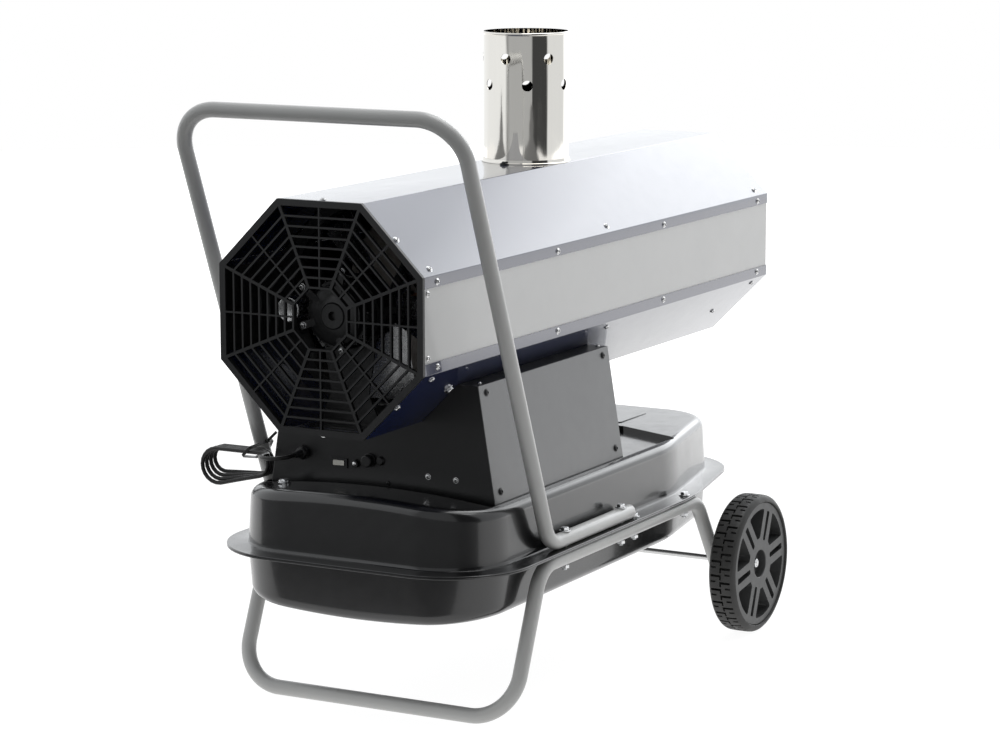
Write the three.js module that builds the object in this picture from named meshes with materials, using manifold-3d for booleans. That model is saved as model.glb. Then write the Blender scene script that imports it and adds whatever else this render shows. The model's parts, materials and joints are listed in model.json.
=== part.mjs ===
// Indirect-fired diesel heater on a two-wheeled trolley.
// Millimetres, +Z up. X runs from the fan grille to the hot-air outlet and Y across the heater.
// The origin is on the floor, below the middle of the heater.
import * as THREE from 'three';
import { mergeVertices } from 'three/addons/utils/BufferGeometryUtils.js';
import Module from 'manifold-3d';

const wasm = await Module();
wasm.setup();

// Clearance between pieces that touch, and how far a cut runs past what it cuts
const gap = 0.3;
const overrun = 6;

// Joined solids lose faces thinner than this
const weld = 0.01;

// Octagonal casing: X is measured from the grille's rear face until the last lines of this file
const casing = {
  acrossFlats: 376.8, end: 1315, sheet: 1.2, lipWidth: 18.5, panelOverlap: 8,
};
const grille = {
  frameWidth: 10.6, plateDepth: 6, skirtDepth: 12, skirtWall: 2.4, hubApothem: 49.7,
  rungs: 7, rungWidth: 3.2, spokeWidth: 5, thinSpokeWidth: 2.8, hubDepth: 9,
};
const outlet = {
  panelInset: 16, sheet: 1.5, openingRadius: 150, ringWall: 1.5, ringBack: 40, reach: 15,
  flangeWidth: 16, flangeSheet: 1.5, beadRadius: 2.5,
};

// Flue
const flue = {
  x: 692.4, radius: 75, wall: 1, rise: 227.7, holeRadius: 9.5, holesPerRow: 6, firstRowDrop: 45, rowPitch: 46,
  collarWidth: 2.6, collarHeight: 7, collarTab: 12, stubRise: 30, stubWall: 1.5, hemWidth: 1.6, hemHeight: 5,
};

// Fan, motor and its bracket
const motor = {
  back: 38, front: 160, radius: 58, bellRadius: 50, bellLength: 16, shaftRadius: 7, shaftEnd: 236,
  shaftBack: 46, ribs: 8, ribDepth: 3, ribWidth: 4, bore: 7.5, tieRadius: 3, tieCircle: 46, tieHead: 3,
};
const fan = {
  start: 196, radius: 162, hubRadius: 24, hubLength: 30, blades: 5, chordRoot: 52, chordTip: 96,
  pitchRoot: 48, pitchTip: 24, sheet: 2, camber: 7,
};
const bladeShares = [[-0.5, 0], [0, 1], [0.5, 0]];
const shroud = { x: 188, radius: 168, sheet: 1.5, lip: 30 };
const capacitor = { y: 82, rise: 5, radius: 20.5, length: 72, start: 36, endRecess: 2 };
const bracket = {
  x: 92, thickness: 24, sheet: 3, footWidth: 120, footLength: 60, waist: 70, cheekShare: 0.55,
};

// Burner, combustion chamber and heat exchanger
const exchanger = { start: 330, end: 1180, radius: 145, wall: 2, endDish: 26 };
const chamber = {
  radius: 98, wall: 2, flange: 116, flangeSheet: 3, end: 930,
  windows: 4, windowLength: 90, windowWidth: 60, windowInset: 40,
};
const burner = {
  plateSheet: 3, tubeRadius: 46, tubeLength: 70, tubeWall: 2, coneRadius: 30,
  vanes: 8, vaneWidth: 5, vaneLength: 26, nozzleRadius: 9, nozzleTip: 4, nozzleLength: 78, boreRadius: 10,
};
const saddle = { inset: 120, thickness: 3, halfWidth: 74, foot: 22, reachShare: 0.62 };

// Fuel tank: two drawn shells joined at a flange
const tank = {
  rear: 75, front: 1118, halfWidth: 240, taperStart: 805, taperSlope: 0.213,
  rearRadius: 92, bendRadius: 70, frontRadius: 112,
  seam: 263.65, flangeSheet: 2.6, flangeWidth: 37, top: 360, bottom: 181, wall: 2, draft: 4, edgeRadius: 13,
  recessFloor: 350, recessRear: 168, recessSetback: 213, recessHalf: 218.5, recessCorner: 55,
  recessCornerRun: 130, recessRadius: 8, crown: 14, belly: 15,
};
const filler = {
  setback: 133, y: 112, neckRadius: 26, neckWall: 1.6, neckRise: 22, neckDepth: 46, collar: 8,
  collarSheet: 2.4, capRadius: 34, capSkirt: 21.5, capSheet: 2.5, grips: 8, gripDepth: 2,
  plugHeight: 12, plugBore: 9, spigotRadius: 8, spigotLength: 9,
};
const gauge = { setback: 133, y: 20, radius: 24, height: 14, bezel: 3, recess: 2, stem: 8, stemLength: 60 };
const drain = { setback: 108, y: 0, radius: 12, height: 9, stemRadius: 7, stemLength: 8 };
const fitting = {
  x: 151, y: 166, radius: 11, height: 4, hexRadius: 8, hexHeight: 7, stemRadius: 4, stemLength: 60,
};

// Trolley tubes, wheels and axle
const tube = { diameter: 25.4, sides: 10, stepAngle: Math.PI / 12, halfGauge: 260.7 };
const handle = {
  barX: -11.1, barHeight: 999.4, leanShare: 0.41, railEnd: 583, footRadius: 46, topRadius: 76,
};
const trolley = {
  footX: 154.4, footLeanShare: 0.43, footRadius: 76, kneeRadius: 58,
  hipLeanShare: 0.664, hipRadius: 52, legOverhang: 16,
};
const wheel = {
  x: 934.5, radius: 125, width: 52, rimRadius: 102, treadDepth: 6, grooves: 18, grooveWidth: 9,
  outerFace: 354.8, shoulder: 8, hubRadius: 24, recessRadius: 15, recessDepth: 12, sidePlay: 1, discWidth: 34,
  discInset: 5, spokes: 6, spokeSlot: 5, spokeWidth: 22, innerRadius: 30, outerRadius: 86, bore: 5.6,
  shoulderDrop: 6,
};
const openingShares = [1, 0.5, 0, -0.5, -1];
const axle = { radius: 5, recessSetback: 4, hole: 5.4 };
const axleCap = { radius: 10, wall: 2, length: 7 };
const bolt = {
  radius: 4, hole: 4.7, head: 7.5, headHeight: 5, washer: 9.5, washerHeight: 1.6, tail: 3,
  railRear: 341, railFront: 549, flangeRear: 600, flangeFront: 803,
};

// Plinth between the tank and the casing, with its service covers
const plinth = {
  rear: 187, front: 650, sheet: 1.5, height: 125.5, shoulderHalf: 183, shoulderRise: 66.5,
  skirtHalf: 214, skirt: 361, coverSheet: 1.5, flange: 22,
};

// Controls on the plinth's rear wall
const gland = {
  y: 149, z: 414, threadRadius: 8, hexRadius: 12.5, hexLength: 8, domeRadius: 10.5, domeLength: 5,
  noseRadius: 7.5, tipRadius: 5.2, noseLength: 20, nutLength: 9,
};
const rocker = {
  y: 80, z: 403, width: 31, height: 16, bezel: 2.6, bezelDepth: 2.5, bodyWidth: 27, bodyHeight: 12.6,
  bodyDepth: 20, wall: 1.6, tiltRise: 3.2, keyDepth: 6.5, keyPlay: 2.1,
};
const reset = { y: 49, z: 404, radius: 5, headRadius: 7, headDepth: 3, stemDepth: 16, proud: 4 };
const socketCap = {
  y: 22, z: 412, radius: 10, depth: 14, skirtRadius: 12, skirtDepth: 3, stemRadius: 6, stemDepth: 12,
  grips: 6, gripRadius: 1.8,
};

// Burner pump, transformer and delivery pipe inside the plinth
const pump = {
  x: 280, y: -40, pedestal: 22, pedestalHalf: 19, block: 44, blockHeight: 34, coilRadius: 23, coilHeight: 30,
  portRadius: 7, portHeight: 9,
};
const transformer = {
  x: 470, y: 60, length: 130, width: 70, height: 62, footReach: 14, footSheet: 3,
  towerRadius: 8, towerHeight: 22, towerPitch: 60,
};
const pipe = { radius: 4, sides: 8, bend: 18, stepAngle: Math.PI / 8, hole: 6 };

// Power lead: a hank strapped to the far handle leg, then a plug lying on the tank's rim
const lead = { diameter: 7, sides: 8, step: 17, hankSides: 6 };
const hank = {
  x: 177, layerPitch: 8.8, perTurn: 24, turns: 3.66,
  rightY: 241, rightZ: 385.5, rightRadius: 21, leftY: 318.5, leftZ: 374.5, leftRadius: 31.5, leftShrink: 2.6,
};
const leadVia = [
  [127.3, 156.9, 413.8], [119.4, 176, 413], [127.3, 195.1, 411.5], [147, 203.4, 409.8], [168.8, 211.9, 407.8],
];
const tailVia = [[213, 243.5, 364.5], [222, 232.5, 367], [236, 227.3, 371.5]];
const strap = {
  y: 258, z: 404, rearX: 172.5, frontX: 252.5, up: 20.5, down: 28, corner: 11, sheet: 1.6, width: 8,
  tailX: 196, tailLength: 16, tilt: Math.PI * 3 / 4,
};
const plug = {
  x: 266, y: 227, radius: 15, length: 36, neckRadius: 6.5, rootRadius: 9, neckLength: 24,
  pinRadius: 2.4, pinLength: 19, pinHalfPitch: 9.5, chamfer: 3,
};

const apothem = casing.acrossFlats / 2;
const eighth = Math.PI / 8;
const halfFlat = apothem * Math.tan(eighth);
const sheetApothem = apothem - casing.sheet;
const axisZ = tank.top + plinth.height + apothem;
const flueTop = axisZ + apothem + flue.rise;
const shoulderZ = axisZ - apothem + plinth.shoulderRise;
const recessEnd = tank.front - tank.recessSetback;
const fillerX = tank.front - filler.setback;
const gaugeX = tank.front - gauge.setback;
const drainX = tank.front - drain.setback;
const flangeTop = tank.seam + gap / 2 + tank.flangeSheet;
const flangeBottom = tank.seam - gap / 2 - tank.flangeSheet;
const tubeRadius = tube.diameter / 2;
const casingStart = grille.plateDepth + gap;

// Solids and their joins and cuts
function solidOf(geometry) {
  let bare = geometry.index ? geometry.toNonIndexed() : geometry.clone();
  for (const name of Object.keys(bare.attributes)) {
    if (name !== 'position') bare.deleteAttribute(name);
  }
  bare = mergeVertices(bare, 1e-4);
  const index = [];
  for (let i = 0; i < bare.index.count; i += 3) {
    const [a, b, c] = [bare.index.getX(i), bare.index.getX(i + 1), bare.index.getX(i + 2)];
    if (a !== b && b !== c && c !== a) index.push(a, b, c);
  }
  const mesh = new wasm.Mesh({
    numProp: 3,
    vertProperties: new Float32Array(bare.attributes.position.array),
    triVerts: new Uint32Array(index),
  });
  return new wasm.Manifold(mesh);
}

function geometryOf(solid) {
  const mesh = solid.simplify(weld).getMesh();
  const geometry = new THREE.BufferGeometry();
  geometry.setAttribute('position', new THREE.BufferAttribute(new Float32Array(mesh.vertProperties), 3));
  geometry.setIndex(new THREE.BufferAttribute(new Uint32Array(mesh.triVerts), 1));
  return geometry;
}

function join(...geometries) {
  return geometryOf(geometries.map(solidOf).reduce((whole, next) => whole.add(next)));
}

function cut(geometry, ...tools) {
  return geometryOf(tools.map(solidOf).reduce((whole, next) => whole.subtract(next), solidOf(geometry)));
}

function overlapOf(geometry, other) {
  return geometryOf(solidOf(geometry).intersect(solidOf(other)));
}

function moved(geometry, x, y, z) {
  return geometry.clone().translate(x, y, z);
}

function alongZ(shape, from, to) {
  return new THREE.ExtrudeGeometry(shape, { depth: to - from, bevelEnabled: false }).translate(0, 0, from);
}

// A shape's x and y become Y and Z, and its depth runs along +X from `from` to `to`
function alongX(shape, from, to) {
  const turn = new THREE.Matrix4().makeBasis(
    new THREE.Vector3(0, 1, 0), new THREE.Vector3(0, 0, 1), new THREE.Vector3(1, 0, 0));
  return alongZ(shape, from, to).applyMatrix4(turn);
}

// A shape's x and y become X and Z, and its depth runs along Y from `from` to `to`
function alongY(shape, from, to) {
  return alongZ(shape, -to, -from).rotateX(Math.PI / 2);
}

function shapeOf(points) {
  return new THREE.Shape(points.map(([x, y]) => new THREE.Vector2(x, y)));
}

function circlePoints(radius, sides, x = 0, y = 0, turn = 0) {
  const points = [];
  for (let i = 0; i < sides; i++) {
    const angle = turn + 2 * Math.PI * i / sides;
    points.push([x + radius * Math.cos(angle), y + radius * Math.sin(angle)]);
  }
  return points;
}

function withHoles(outline, ...holes) {
  const shape = shapeOf(outline);
  for (const hole of holes) shape.holes.push(new THREE.Path(hole.map(([x, y]) => new THREE.Vector2(x, y))));
  return shape;
}

// Cylinders along the three axes, from one end to the other
function rodX(radius, from, to, y, z, sides = 24, endRadius = radius) {
  const rod = new THREE.CylinderGeometry(endRadius, radius, to - from, sides);
  return rod.rotateZ(-Math.PI / 2).translate((from + to) / 2, y, z);
}

function rodY(radius, from, to, x, z, sides = 24) {
  return new THREE.CylinderGeometry(radius, radius, to - from, sides).translate(x, (from + to) / 2, z);
}

function rodZ(radius, from, to, x, y, sides = 24, endRadius = radius) {
  const rod = new THREE.CylinderGeometry(endRadius, radius, to - from, sides);
  return rod.rotateX(Math.PI / 2).translate(x, y, (from + to) / 2);
}

function block(x0, x1, y0, y1, z0, z1) {
  return new THREE.BoxGeometry(x1 - x0, y1 - y0, z1 - z0)
    .translate((x0 + x1) / 2, (y0 + y1) / 2, (z0 + z1) / 2);
}

// A closed profile of [radius, height] turned about +Z, or about +X
function turned(profile, sides) {
  const loop = [...profile, profile[0]].map(([r, h]) => new THREE.Vector2(r, h));
  return new THREE.LatheGeometry(loop, sides).rotateX(Math.PI / 2);
}

function turnedX(profile, sides) {
  return turned(profile, sides).rotateY(Math.PI / 2);
}

// Octagon with flats on top, below and at both sides, as [y, z] about the casing's axis
function octagon(radius) {
  return circlePoints(radius / Math.cos(eighth), 8, 0, axisZ, eighth);
}

// Sheet of even thickness on the inner side of a folded line, with mitred folds
function foldedSheet(line2d, thickness) {
  const points = line2d.map(([x, y]) => new THREE.Vector2(x, y));
  const inner = points.map((point, i) => {
    const before = points[Math.max(i - 1, 0)];
    const after = points[Math.min(i + 1, points.length - 1)];
    const first = point.clone().sub(before);
    const second = after.clone().sub(point);
    const a = (i > 0 ? first : second).normalize();
    const b = (i < points.length - 1 ? second : first).normalize();
    const normal = new THREE.Vector2(-(a.y + b.y), a.x + b.x).normalize();
    return point.clone().addScaledVector(normal, thickness / (normal.x * -a.y + normal.y * a.x));
  });
  return new THREE.Shape([...points, ...inner.reverse()]);
}

// Polygon corners moved outwards by `distance`, with every corner rounded
function offsetCorners(corners, distance) {
  const count = corners.length;
  return corners.map(([x, y], i) => {
    const [px, py] = corners[(i + count - 1) % count];
    const [nx, ny] = corners[(i + 1) % count];
    const a = new THREE.Vector2(x - px, y - py).normalize();
    const b = new THREE.Vector2(nx - x, ny - y).normalize();
    const normal = new THREE.Vector2(a.y + b.y, -(a.x + b.x)).normalize();
    const reach = distance / (normal.x * a.y - normal.y * a.x);
    return [x + normal.x * reach, y + normal.y * reach];
  });
}

function roundedOutline(corners, radii, steps) {
  const count = corners.length;
  const points = [];
  corners.forEach(([x, y], i) => {
    const corner = new THREE.Vector2(x, y);
    const before = new THREE.Vector2(...corners[(i + count - 1) % count]).sub(corner).normalize();
    const after = new THREE.Vector2(...corners[(i + 1) % count]).sub(corner).normalize();
    const half = before.angleTo(after) / 2;
    const middle = before.clone().add(after).normalize();
    const centre = corner.clone().addScaledVector(middle, radii[i] / Math.sin(half));
    const start = corner.clone().addScaledVector(before, radii[i] / Math.tan(half)).sub(centre);
    const sweep = Math.PI - 2 * half;
    for (let k = 0; k <= steps[i]; k++) {
      const spoke = start.clone().rotateAround(new THREE.Vector2(), sweep * k / steps[i]);
      points.push([centre.x + spoke.x, centre.y + spoke.y]);
    }
  });
  return points;
}

// Closed body through a row of rings with the same number of points. From point `turnAt` of a ring on,
// the faces are split along their other diagonal, so that two sides of a thin sheet stay parallel
function loft(rings, turnAt = Infinity) {
  const count = rings[0].length;
  const positions = rings.flat().flatMap((p) => [p.x, p.y, p.z]);
  const index = [];
  for (let r = 0; r + 1 < rings.length; r++) {
    for (let i = 0; i < count; i++) {
      const j = (i + 1) % count;
      const [a, b, c, d] = [r * count + i, r * count + j, (r + 1) * count + j, (r + 1) * count + i];
      if (i < turnAt) index.push(a, b, c, a, c, d);
      else index.push(a, b, d, b, c, d);
    }
  }
  for (const [ring, base, flip] of [[rings[0], 0, true], [rings.at(-1), (rings.length - 1) * count, false]]) {
    const normal = new THREE.Vector3();
    ring.forEach((p, i) => normal.add(new THREE.Vector3().crossVectors(p, ring[(i + 1) % count])));
    normal.normalize();
    const turn = new THREE.Quaternion().setFromUnitVectors(normal, new THREE.Vector3(0, 0, 1));
    const flat = ring.map((p) => p.clone().applyQuaternion(turn)).map((p) => new THREE.Vector2(p.x, p.y));
    for (const [a, b, c] of THREE.ShapeUtils.triangulateShape(flat, [])) {
      index.push(base + a, base + (flip ? c : b), base + (flip ? b : c));
    }
  }
  const geometry = new THREE.BufferGeometry();
  geometry.setAttribute('position', new THREE.Float32BufferAttribute(positions, 3));
  geometry.setIndex(index);
  return geometry;
}

// A path whose equal steps fall on chosen stations, so that straight runs take one step
class StationPath extends THREE.Curve {
  constructor(points, tangents) {
    super();
    this.points = points;
    this.tangents = tangents;
  }

  stationAt(u) {
    return Math.round(u * (this.points.length - 1));
  }

  getPointAt(u, target = new THREE.Vector3()) {
    return target.copy(this.points[this.stationAt(u)]);
  }

  getTangentAt(u, target = new THREE.Vector3()) {
    return target.copy(this.tangents[this.stationAt(u)]);
  }
}

function roundShape(radius, sides) {
  return shapeOf(circlePoints(radius, sides, 0, 0, Math.PI / sides));
}

function sweep(shape, path) {
  const options = { steps: path.points.length - 1, extrudePath: path, bevelEnabled: false };
  return new THREE.ExtrudeGeometry(shape, options);
}

// Tube bent at each inner corner, with as many steps to a bend as its angle needs
function bentPath(corners, radii, stepAngle) {
  const points = [new THREE.Vector3(...corners[0])];
  const tangents = [];
  for (let i = 1; i + 1 < corners.length; i++) {
    const corner = new THREE.Vector3(...corners[i]);
    const into = corner.clone().sub(new THREE.Vector3(...corners[i - 1])).normalize();
    const out = new THREE.Vector3(...corners[i + 1]).sub(corner).normalize();
    const bend = into.angleTo(out);
    const axis = new THREE.Vector3().crossVectors(into, out).normalize();
    const start = corner.clone().addScaledVector(into, -radii[i - 1] * Math.tan(bend / 2));
    const centre = start.clone().addScaledVector(new THREE.Vector3().crossVectors(axis, into), radii[i - 1]);
    const steps = Math.max(2, Math.round(bend / stepAngle));
    if (i === 1) tangents.push(into.clone());
    for (let k = 0; k <= steps; k++) {
      const spoke = start.clone().sub(centre).applyAxisAngle(axis, bend * k / steps);
      points.push(spoke.add(centre));
      tangents.push(into.clone().applyAxisAngle(axis, bend * k / steps));
    }
    if (i + 2 === corners.length) tangents.push(out.clone());
  }
  points.push(new THREE.Vector3(...corners.at(-1)));
  return new StationPath(points, tangents);
}

// Fan grille: an octagonal web of rungs on eight spokes and eight thin ribs, in a skirted frame
function grilleCells() {
  const inner = apothem - grille.frameWidth;
  const pitch = (inner - grille.hubApothem) / (grille.rungs + 1);
  const cells = [];
  for (let side = 0; side < 8; side++) {
    const facing = side * 2 * eighth;
    for (const hand of [1, -1]) {
      for (let row = 0; row <= grille.rungs; row++) {
        const low = grille.hubApothem + row * pitch + grille.rungWidth / 2;
        const high = grille.hubApothem + (row + 1) * pitch - (row < grille.rungs ? grille.rungWidth / 2 : 0);
        const near = grille.thinSpokeWidth / 2;
        const far = (u) => u * Math.tan(eighth) - grille.spokeWidth / 2 / Math.cos(eighth);
        const corners = [[low, near], [high, near], [high, far(high)], [low, far(low)]];
        cells.push(corners.map(([u, v]) => [
          u * Math.cos(facing) - hand * v * Math.sin(facing),
          axisZ + u * Math.sin(facing) + hand * v * Math.cos(facing),
        ]));
      }
    }
  }
  return cells;
}

function fanGrille() {
  const hubHole = octagon(grille.hubApothem - grille.rungWidth / 2);
  const plate = alongX(withHoles(octagon(apothem), hubHole), 0, grille.plateDepth);
  const cells = grilleCells().map((cell) => alongX(shapeOf(cell), -overrun, grille.plateDepth + overrun));
  const skirtOuter = sheetApothem - casing.sheet - 2 * gap;
  const skirt = withHoles(octagon(skirtOuter), octagon(skirtOuter - grille.skirtWall));
  const hubRing = withHoles(octagon(grille.hubApothem + grille.rungWidth / 2), hubHole);
  return join(
    cut(plate, ...cells),
    alongX(skirt, grille.plateDepth / 2, grille.plateDepth + grille.skirtDepth),
    alongX(hubRing, grille.plateDepth / 2, grille.hubDepth));
}

// Casing: folded upper and lower covers whose lips lap the two side panels
function coverLine(sign) {
  const lipEdge = halfFlat - casing.lipWidth;
  const line2d = [[-apothem, lipEdge], [-apothem, halfFlat], [-halfFlat, apothem],
    [halfFlat, apothem], [apothem, halfFlat], [apothem, lipEdge]];
  const placed = line2d.map(([y, z]) => [y, axisZ + sign * z]);
  return sign > 0 ? placed.reverse() : placed;
}

function upperCover() {
  const cover = alongX(foldedSheet(coverLine(1), casing.sheet), casingStart, casing.end);
  const hole = rodZ(flue.radius + gap, axisZ + halfFlat, axisZ + apothem + overrun, flue.x, 0, 32);
  return cut(cover, hole);
}

function lowerCover() {
  const cover = alongX(foldedSheet(coverLine(-1), casing.sheet), casingStart, casing.end);
  const bottom = axisZ - apothem;
  const pass = rodZ(pipe.hole, bottom - overrun, bottom + overrun, pump.x, pump.y, 12);
  return cut(cover, pass);
}

function sidePanel(sign) {
  const outer = sheetApothem - gap;
  const half = halfFlat - casing.lipWidth + casing.panelOverlap;
  const from = sign > 0 ? outer : -outer + casing.sheet;
  const plate = shapeOf([[casingStart, axisZ - half], [casing.end, axisZ - half],
    [casing.end, axisZ + half], [casingStart, axisZ + half]]);
  return alongY(plate, from - casing.sheet, from);
}

// Hot-air end: an octagonal panel with a folded rim, and the outlet ring that a duct slips over
function outletPanel() {
  const outer = sheetApothem - casing.sheet - 2 * gap;
  const back = casing.end - outlet.panelInset;
  const plate = withHoles(octagon(outer), circlePoints(outlet.openingRadius + gap, 36, 0, axisZ));
  const rim = withHoles(octagon(outer), octagon(outer - outlet.sheet));
  return join(
    alongX(plate, back, back + outlet.sheet),
    alongX(rim, back + outlet.sheet / 2, casing.end));
}

function outletRing() {
  const face = casing.end - outlet.panelInset + outlet.sheet + gap;
  const [inner, outer] = [outlet.openingRadius - outlet.ringWall, outlet.openingRadius];
  const tip = casing.end + outlet.reach;
  const bead = tip - 2 * outlet.beadRadius;
  return turnedX([
    [inner, face - outlet.ringBack], [outer, face - outlet.ringBack], [outer, face],
    [outer + outlet.flangeWidth, face], [outer + outlet.flangeWidth, face + outlet.flangeSheet],
    [outer, face + outlet.flangeSheet], [outer, bead], [outer + outlet.beadRadius, bead + outlet.beadRadius],
    [outer, tip], [inner, tip],
  ], 36).translate(0, 0, axisZ);
}

// Flue pipe with two staggered rows of draught holes and a hemmed top
function flueBase() {
  return axisZ + apothem + gap;
}

function fluePipe() {
  const inner = flue.radius - flue.wall;
  const sleeve = turned([
    [inner, flueBase()], [flue.radius, flueBase()], [flue.radius, flueTop - flue.hemHeight],
    [flue.radius + flue.hemWidth, flueTop - flue.hemHeight / 2], [flue.radius, flueTop], [inner, flueTop],
  ], 32);
  const holes = [];
  for (let row = 0; row < 2; row++) {
    for (let k = 0; k < flue.holesPerRow; k++) {
      const angle = 2 * Math.PI * (k + row / 2) / flue.holesPerRow;
      const z = flueTop - flue.firstRowDrop - row * flue.rowPitch;
      const tool = new THREE.CylinderGeometry(flue.holeRadius, flue.holeRadius, 2 * overrun, 10);
      holes.push(tool.rotateZ(Math.PI / 2).translate(flue.radius, 0, z).rotateZ(angle));
    }
  }
  return cut(sleeve, ...holes).translate(flue.x, 0, 0);
}

function flueCollar() {
  const inner = flue.radius + gap;
  const base = flueBase();
  const ring = turned([[inner, base], [inner + flue.collarWidth, base],
    [inner + flue.collarWidth, base + flue.collarHeight], [inner, base + flue.collarHeight]], 32);
  const tabs = [1, -1].map((side) => {
    const reach = side * (inner + flue.collarTab);
    return block(Math.min(side * inner, reach), Math.max(side * inner, reach),
      -flue.collarTab / 2, flue.collarTab / 2, base, base + flue.collarWidth);
  });
  const bore = rodZ(inner, base - overrun, base + flue.collarHeight + overrun, 0, 0, 32);
  return cut(join(ring, ...tabs), bore).translate(flue.x, 0, 0);
}

// Fan motor with cooling ribs, its shaft and the fan on it
function fanMotor() {
  const { back, front, radius, bellRadius, bellLength } = motor;
  const shell = turnedX([
    [motor.bore, back], [bellRadius - motor.tieHead, back], [bellRadius, back + motor.tieHead],
    [bellRadius, back + bellLength], [radius - motor.ribDepth, back + bellLength],
    [radius - motor.ribDepth, front - bellLength], [bellRadius, front - bellLength], [bellRadius, front],
    [motor.bore, front],
  ], 20).translate(0, 0, axisZ);
  const parts = [shell];
  for (let k = 0; k < motor.ribs; k++) {
    const angle = 2 * Math.PI * (k + 0.5) / motor.ribs;
    const rib = block(back + bellLength, front - bellLength, -motor.ribWidth / 2, motor.ribWidth / 2,
      radius - 2 * motor.ribDepth, radius);
    parts.push(rib.rotateX(angle).translate(0, 0, axisZ));
  }
  for (let k = 0; k < 4; k++) {
    const angle = Math.PI / 4 + k * Math.PI / 2;
    const circle = motor.tieCircle - motor.tieHead;
    const tie = rodX(motor.tieRadius, back - motor.tieHead, back + motor.tieHead, 0, circle, 8);
    parts.push(tie.rotateX(angle).translate(0, 0, axisZ));
  }
  return join(...parts);
}

function fanBlade() {
  const stations = 4;
  const middle = fan.start + fan.hubLength / 2;
  const sections = [];
  for (let k = 0; k < stations; k++) {
    const share = k / (stations - 1);
    const r = fan.hubRadius - fan.sheet + share * (fan.radius - fan.hubRadius + fan.sheet);
    const chord = fan.chordRoot + share * (fan.chordTip - fan.chordRoot);
    const pitch = THREE.MathUtils.degToRad(fan.pitchRoot + share * (fan.pitchTip - fan.pitchRoot));
    const outline = [...bladeShares, ...[...bladeShares].reverse()];
    const ring = outline.map(([along, bow], i) => {
      const side = i < bladeShares.length ? 1 : -1;
      const u = along * chord;
      const v = bow * fan.camber + side * fan.sheet / 2;
      const x = middle + u * Math.sin(pitch) + v * Math.cos(pitch);
      const across = u * Math.cos(pitch) - v * Math.sin(pitch);
      const height = Math.sqrt(Math.max(r * r - across * across, fan.hubRadius * fan.hubRadius / 4));
      return new THREE.Vector3(x, across, height);
    });
    sections.push(ring);
  }
  return loft(sections, bladeShares.length);
}

function fanImpeller() {
  const parts = [
    rodX(fan.hubRadius, fan.start, fan.start + fan.hubLength, 0, 0, 24),
    rodX(motor.shaftRadius, motor.shaftBack, motor.shaftEnd, 0, 0, 16),
  ];
  for (let k = 0; k < fan.blades; k++) parts.push(fanBlade().rotateX(2 * Math.PI * (k + 0.5) / fan.blades));
  return join(...parts).translate(0, 0, axisZ);
}

function fanShroud() {
  const outer = sheetApothem - casing.sheet - 2 * gap;
  const plate = withHoles(octagon(outer), circlePoints(shroud.radius, 32, 0, axisZ));
  const lip = withHoles(circlePoints(shroud.radius + shroud.sheet, 32, 0, axisZ),
    circlePoints(shroud.radius, 32, 0, axisZ));
  return join(
    alongX(plate, shroud.x, shroud.x + shroud.sheet),
    alongX(lip, shroud.x + shroud.sheet / 2, shroud.x + shroud.lip));
}

// Bracket: a folded foot on the casing's floor, and a cradle under the motor
function motorBracket() {
  const floor = axisZ - apothem + casing.sheet + gap;
  const cradle = motor.radius + gap;
  const seat = axisZ - cradle * bracket.cheekShare;
  const seatHalf = cradle * Math.sqrt(1 - bracket.cheekShare ** 2) + bracket.sheet;
  const web = shapeOf([[-bracket.footWidth / 2, floor], [bracket.footWidth / 2, floor],
    [bracket.waist / 2, (floor + seat) / 2 - bracket.thickness], [seatHalf, seat],
    [-seatHalf, seat], [-bracket.waist / 2, (floor + seat) / 2 - bracket.thickness]]);
  const plate = alongX(web, bracket.x - bracket.sheet / 2, bracket.x + bracket.sheet / 2);
  const band = withHoles(circlePoints(cradle + bracket.sheet, 32, 0, axisZ),
    circlePoints(cradle, 32, 0, axisZ));
  const strap = alongX(band, bracket.x - bracket.thickness / 2, bracket.x + bracket.thickness / 2);
  const foot = block(bracket.x - bracket.footLength / 2, bracket.x + bracket.footLength / 2,
    -bracket.footWidth / 2, bracket.footWidth / 2, floor, floor + bracket.sheet);
  const room = rodX(cradle, bracket.x - bracket.footLength, bracket.x + bracket.footLength, 0, axisZ, 32);
  return cut(join(plate, strap, foot), room);
}

function motorCapacitor() {
  const { y, rise, radius, length, start, endRecess } = capacitor;
  const can = rodX(radius, start, start + length, y, axisZ + rise, 24);
  const recess = rodX(radius - endRecess, start - overrun, start + endRecess / 2, y, axisZ + rise, 24);
  return cut(can, recess);
}

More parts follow.
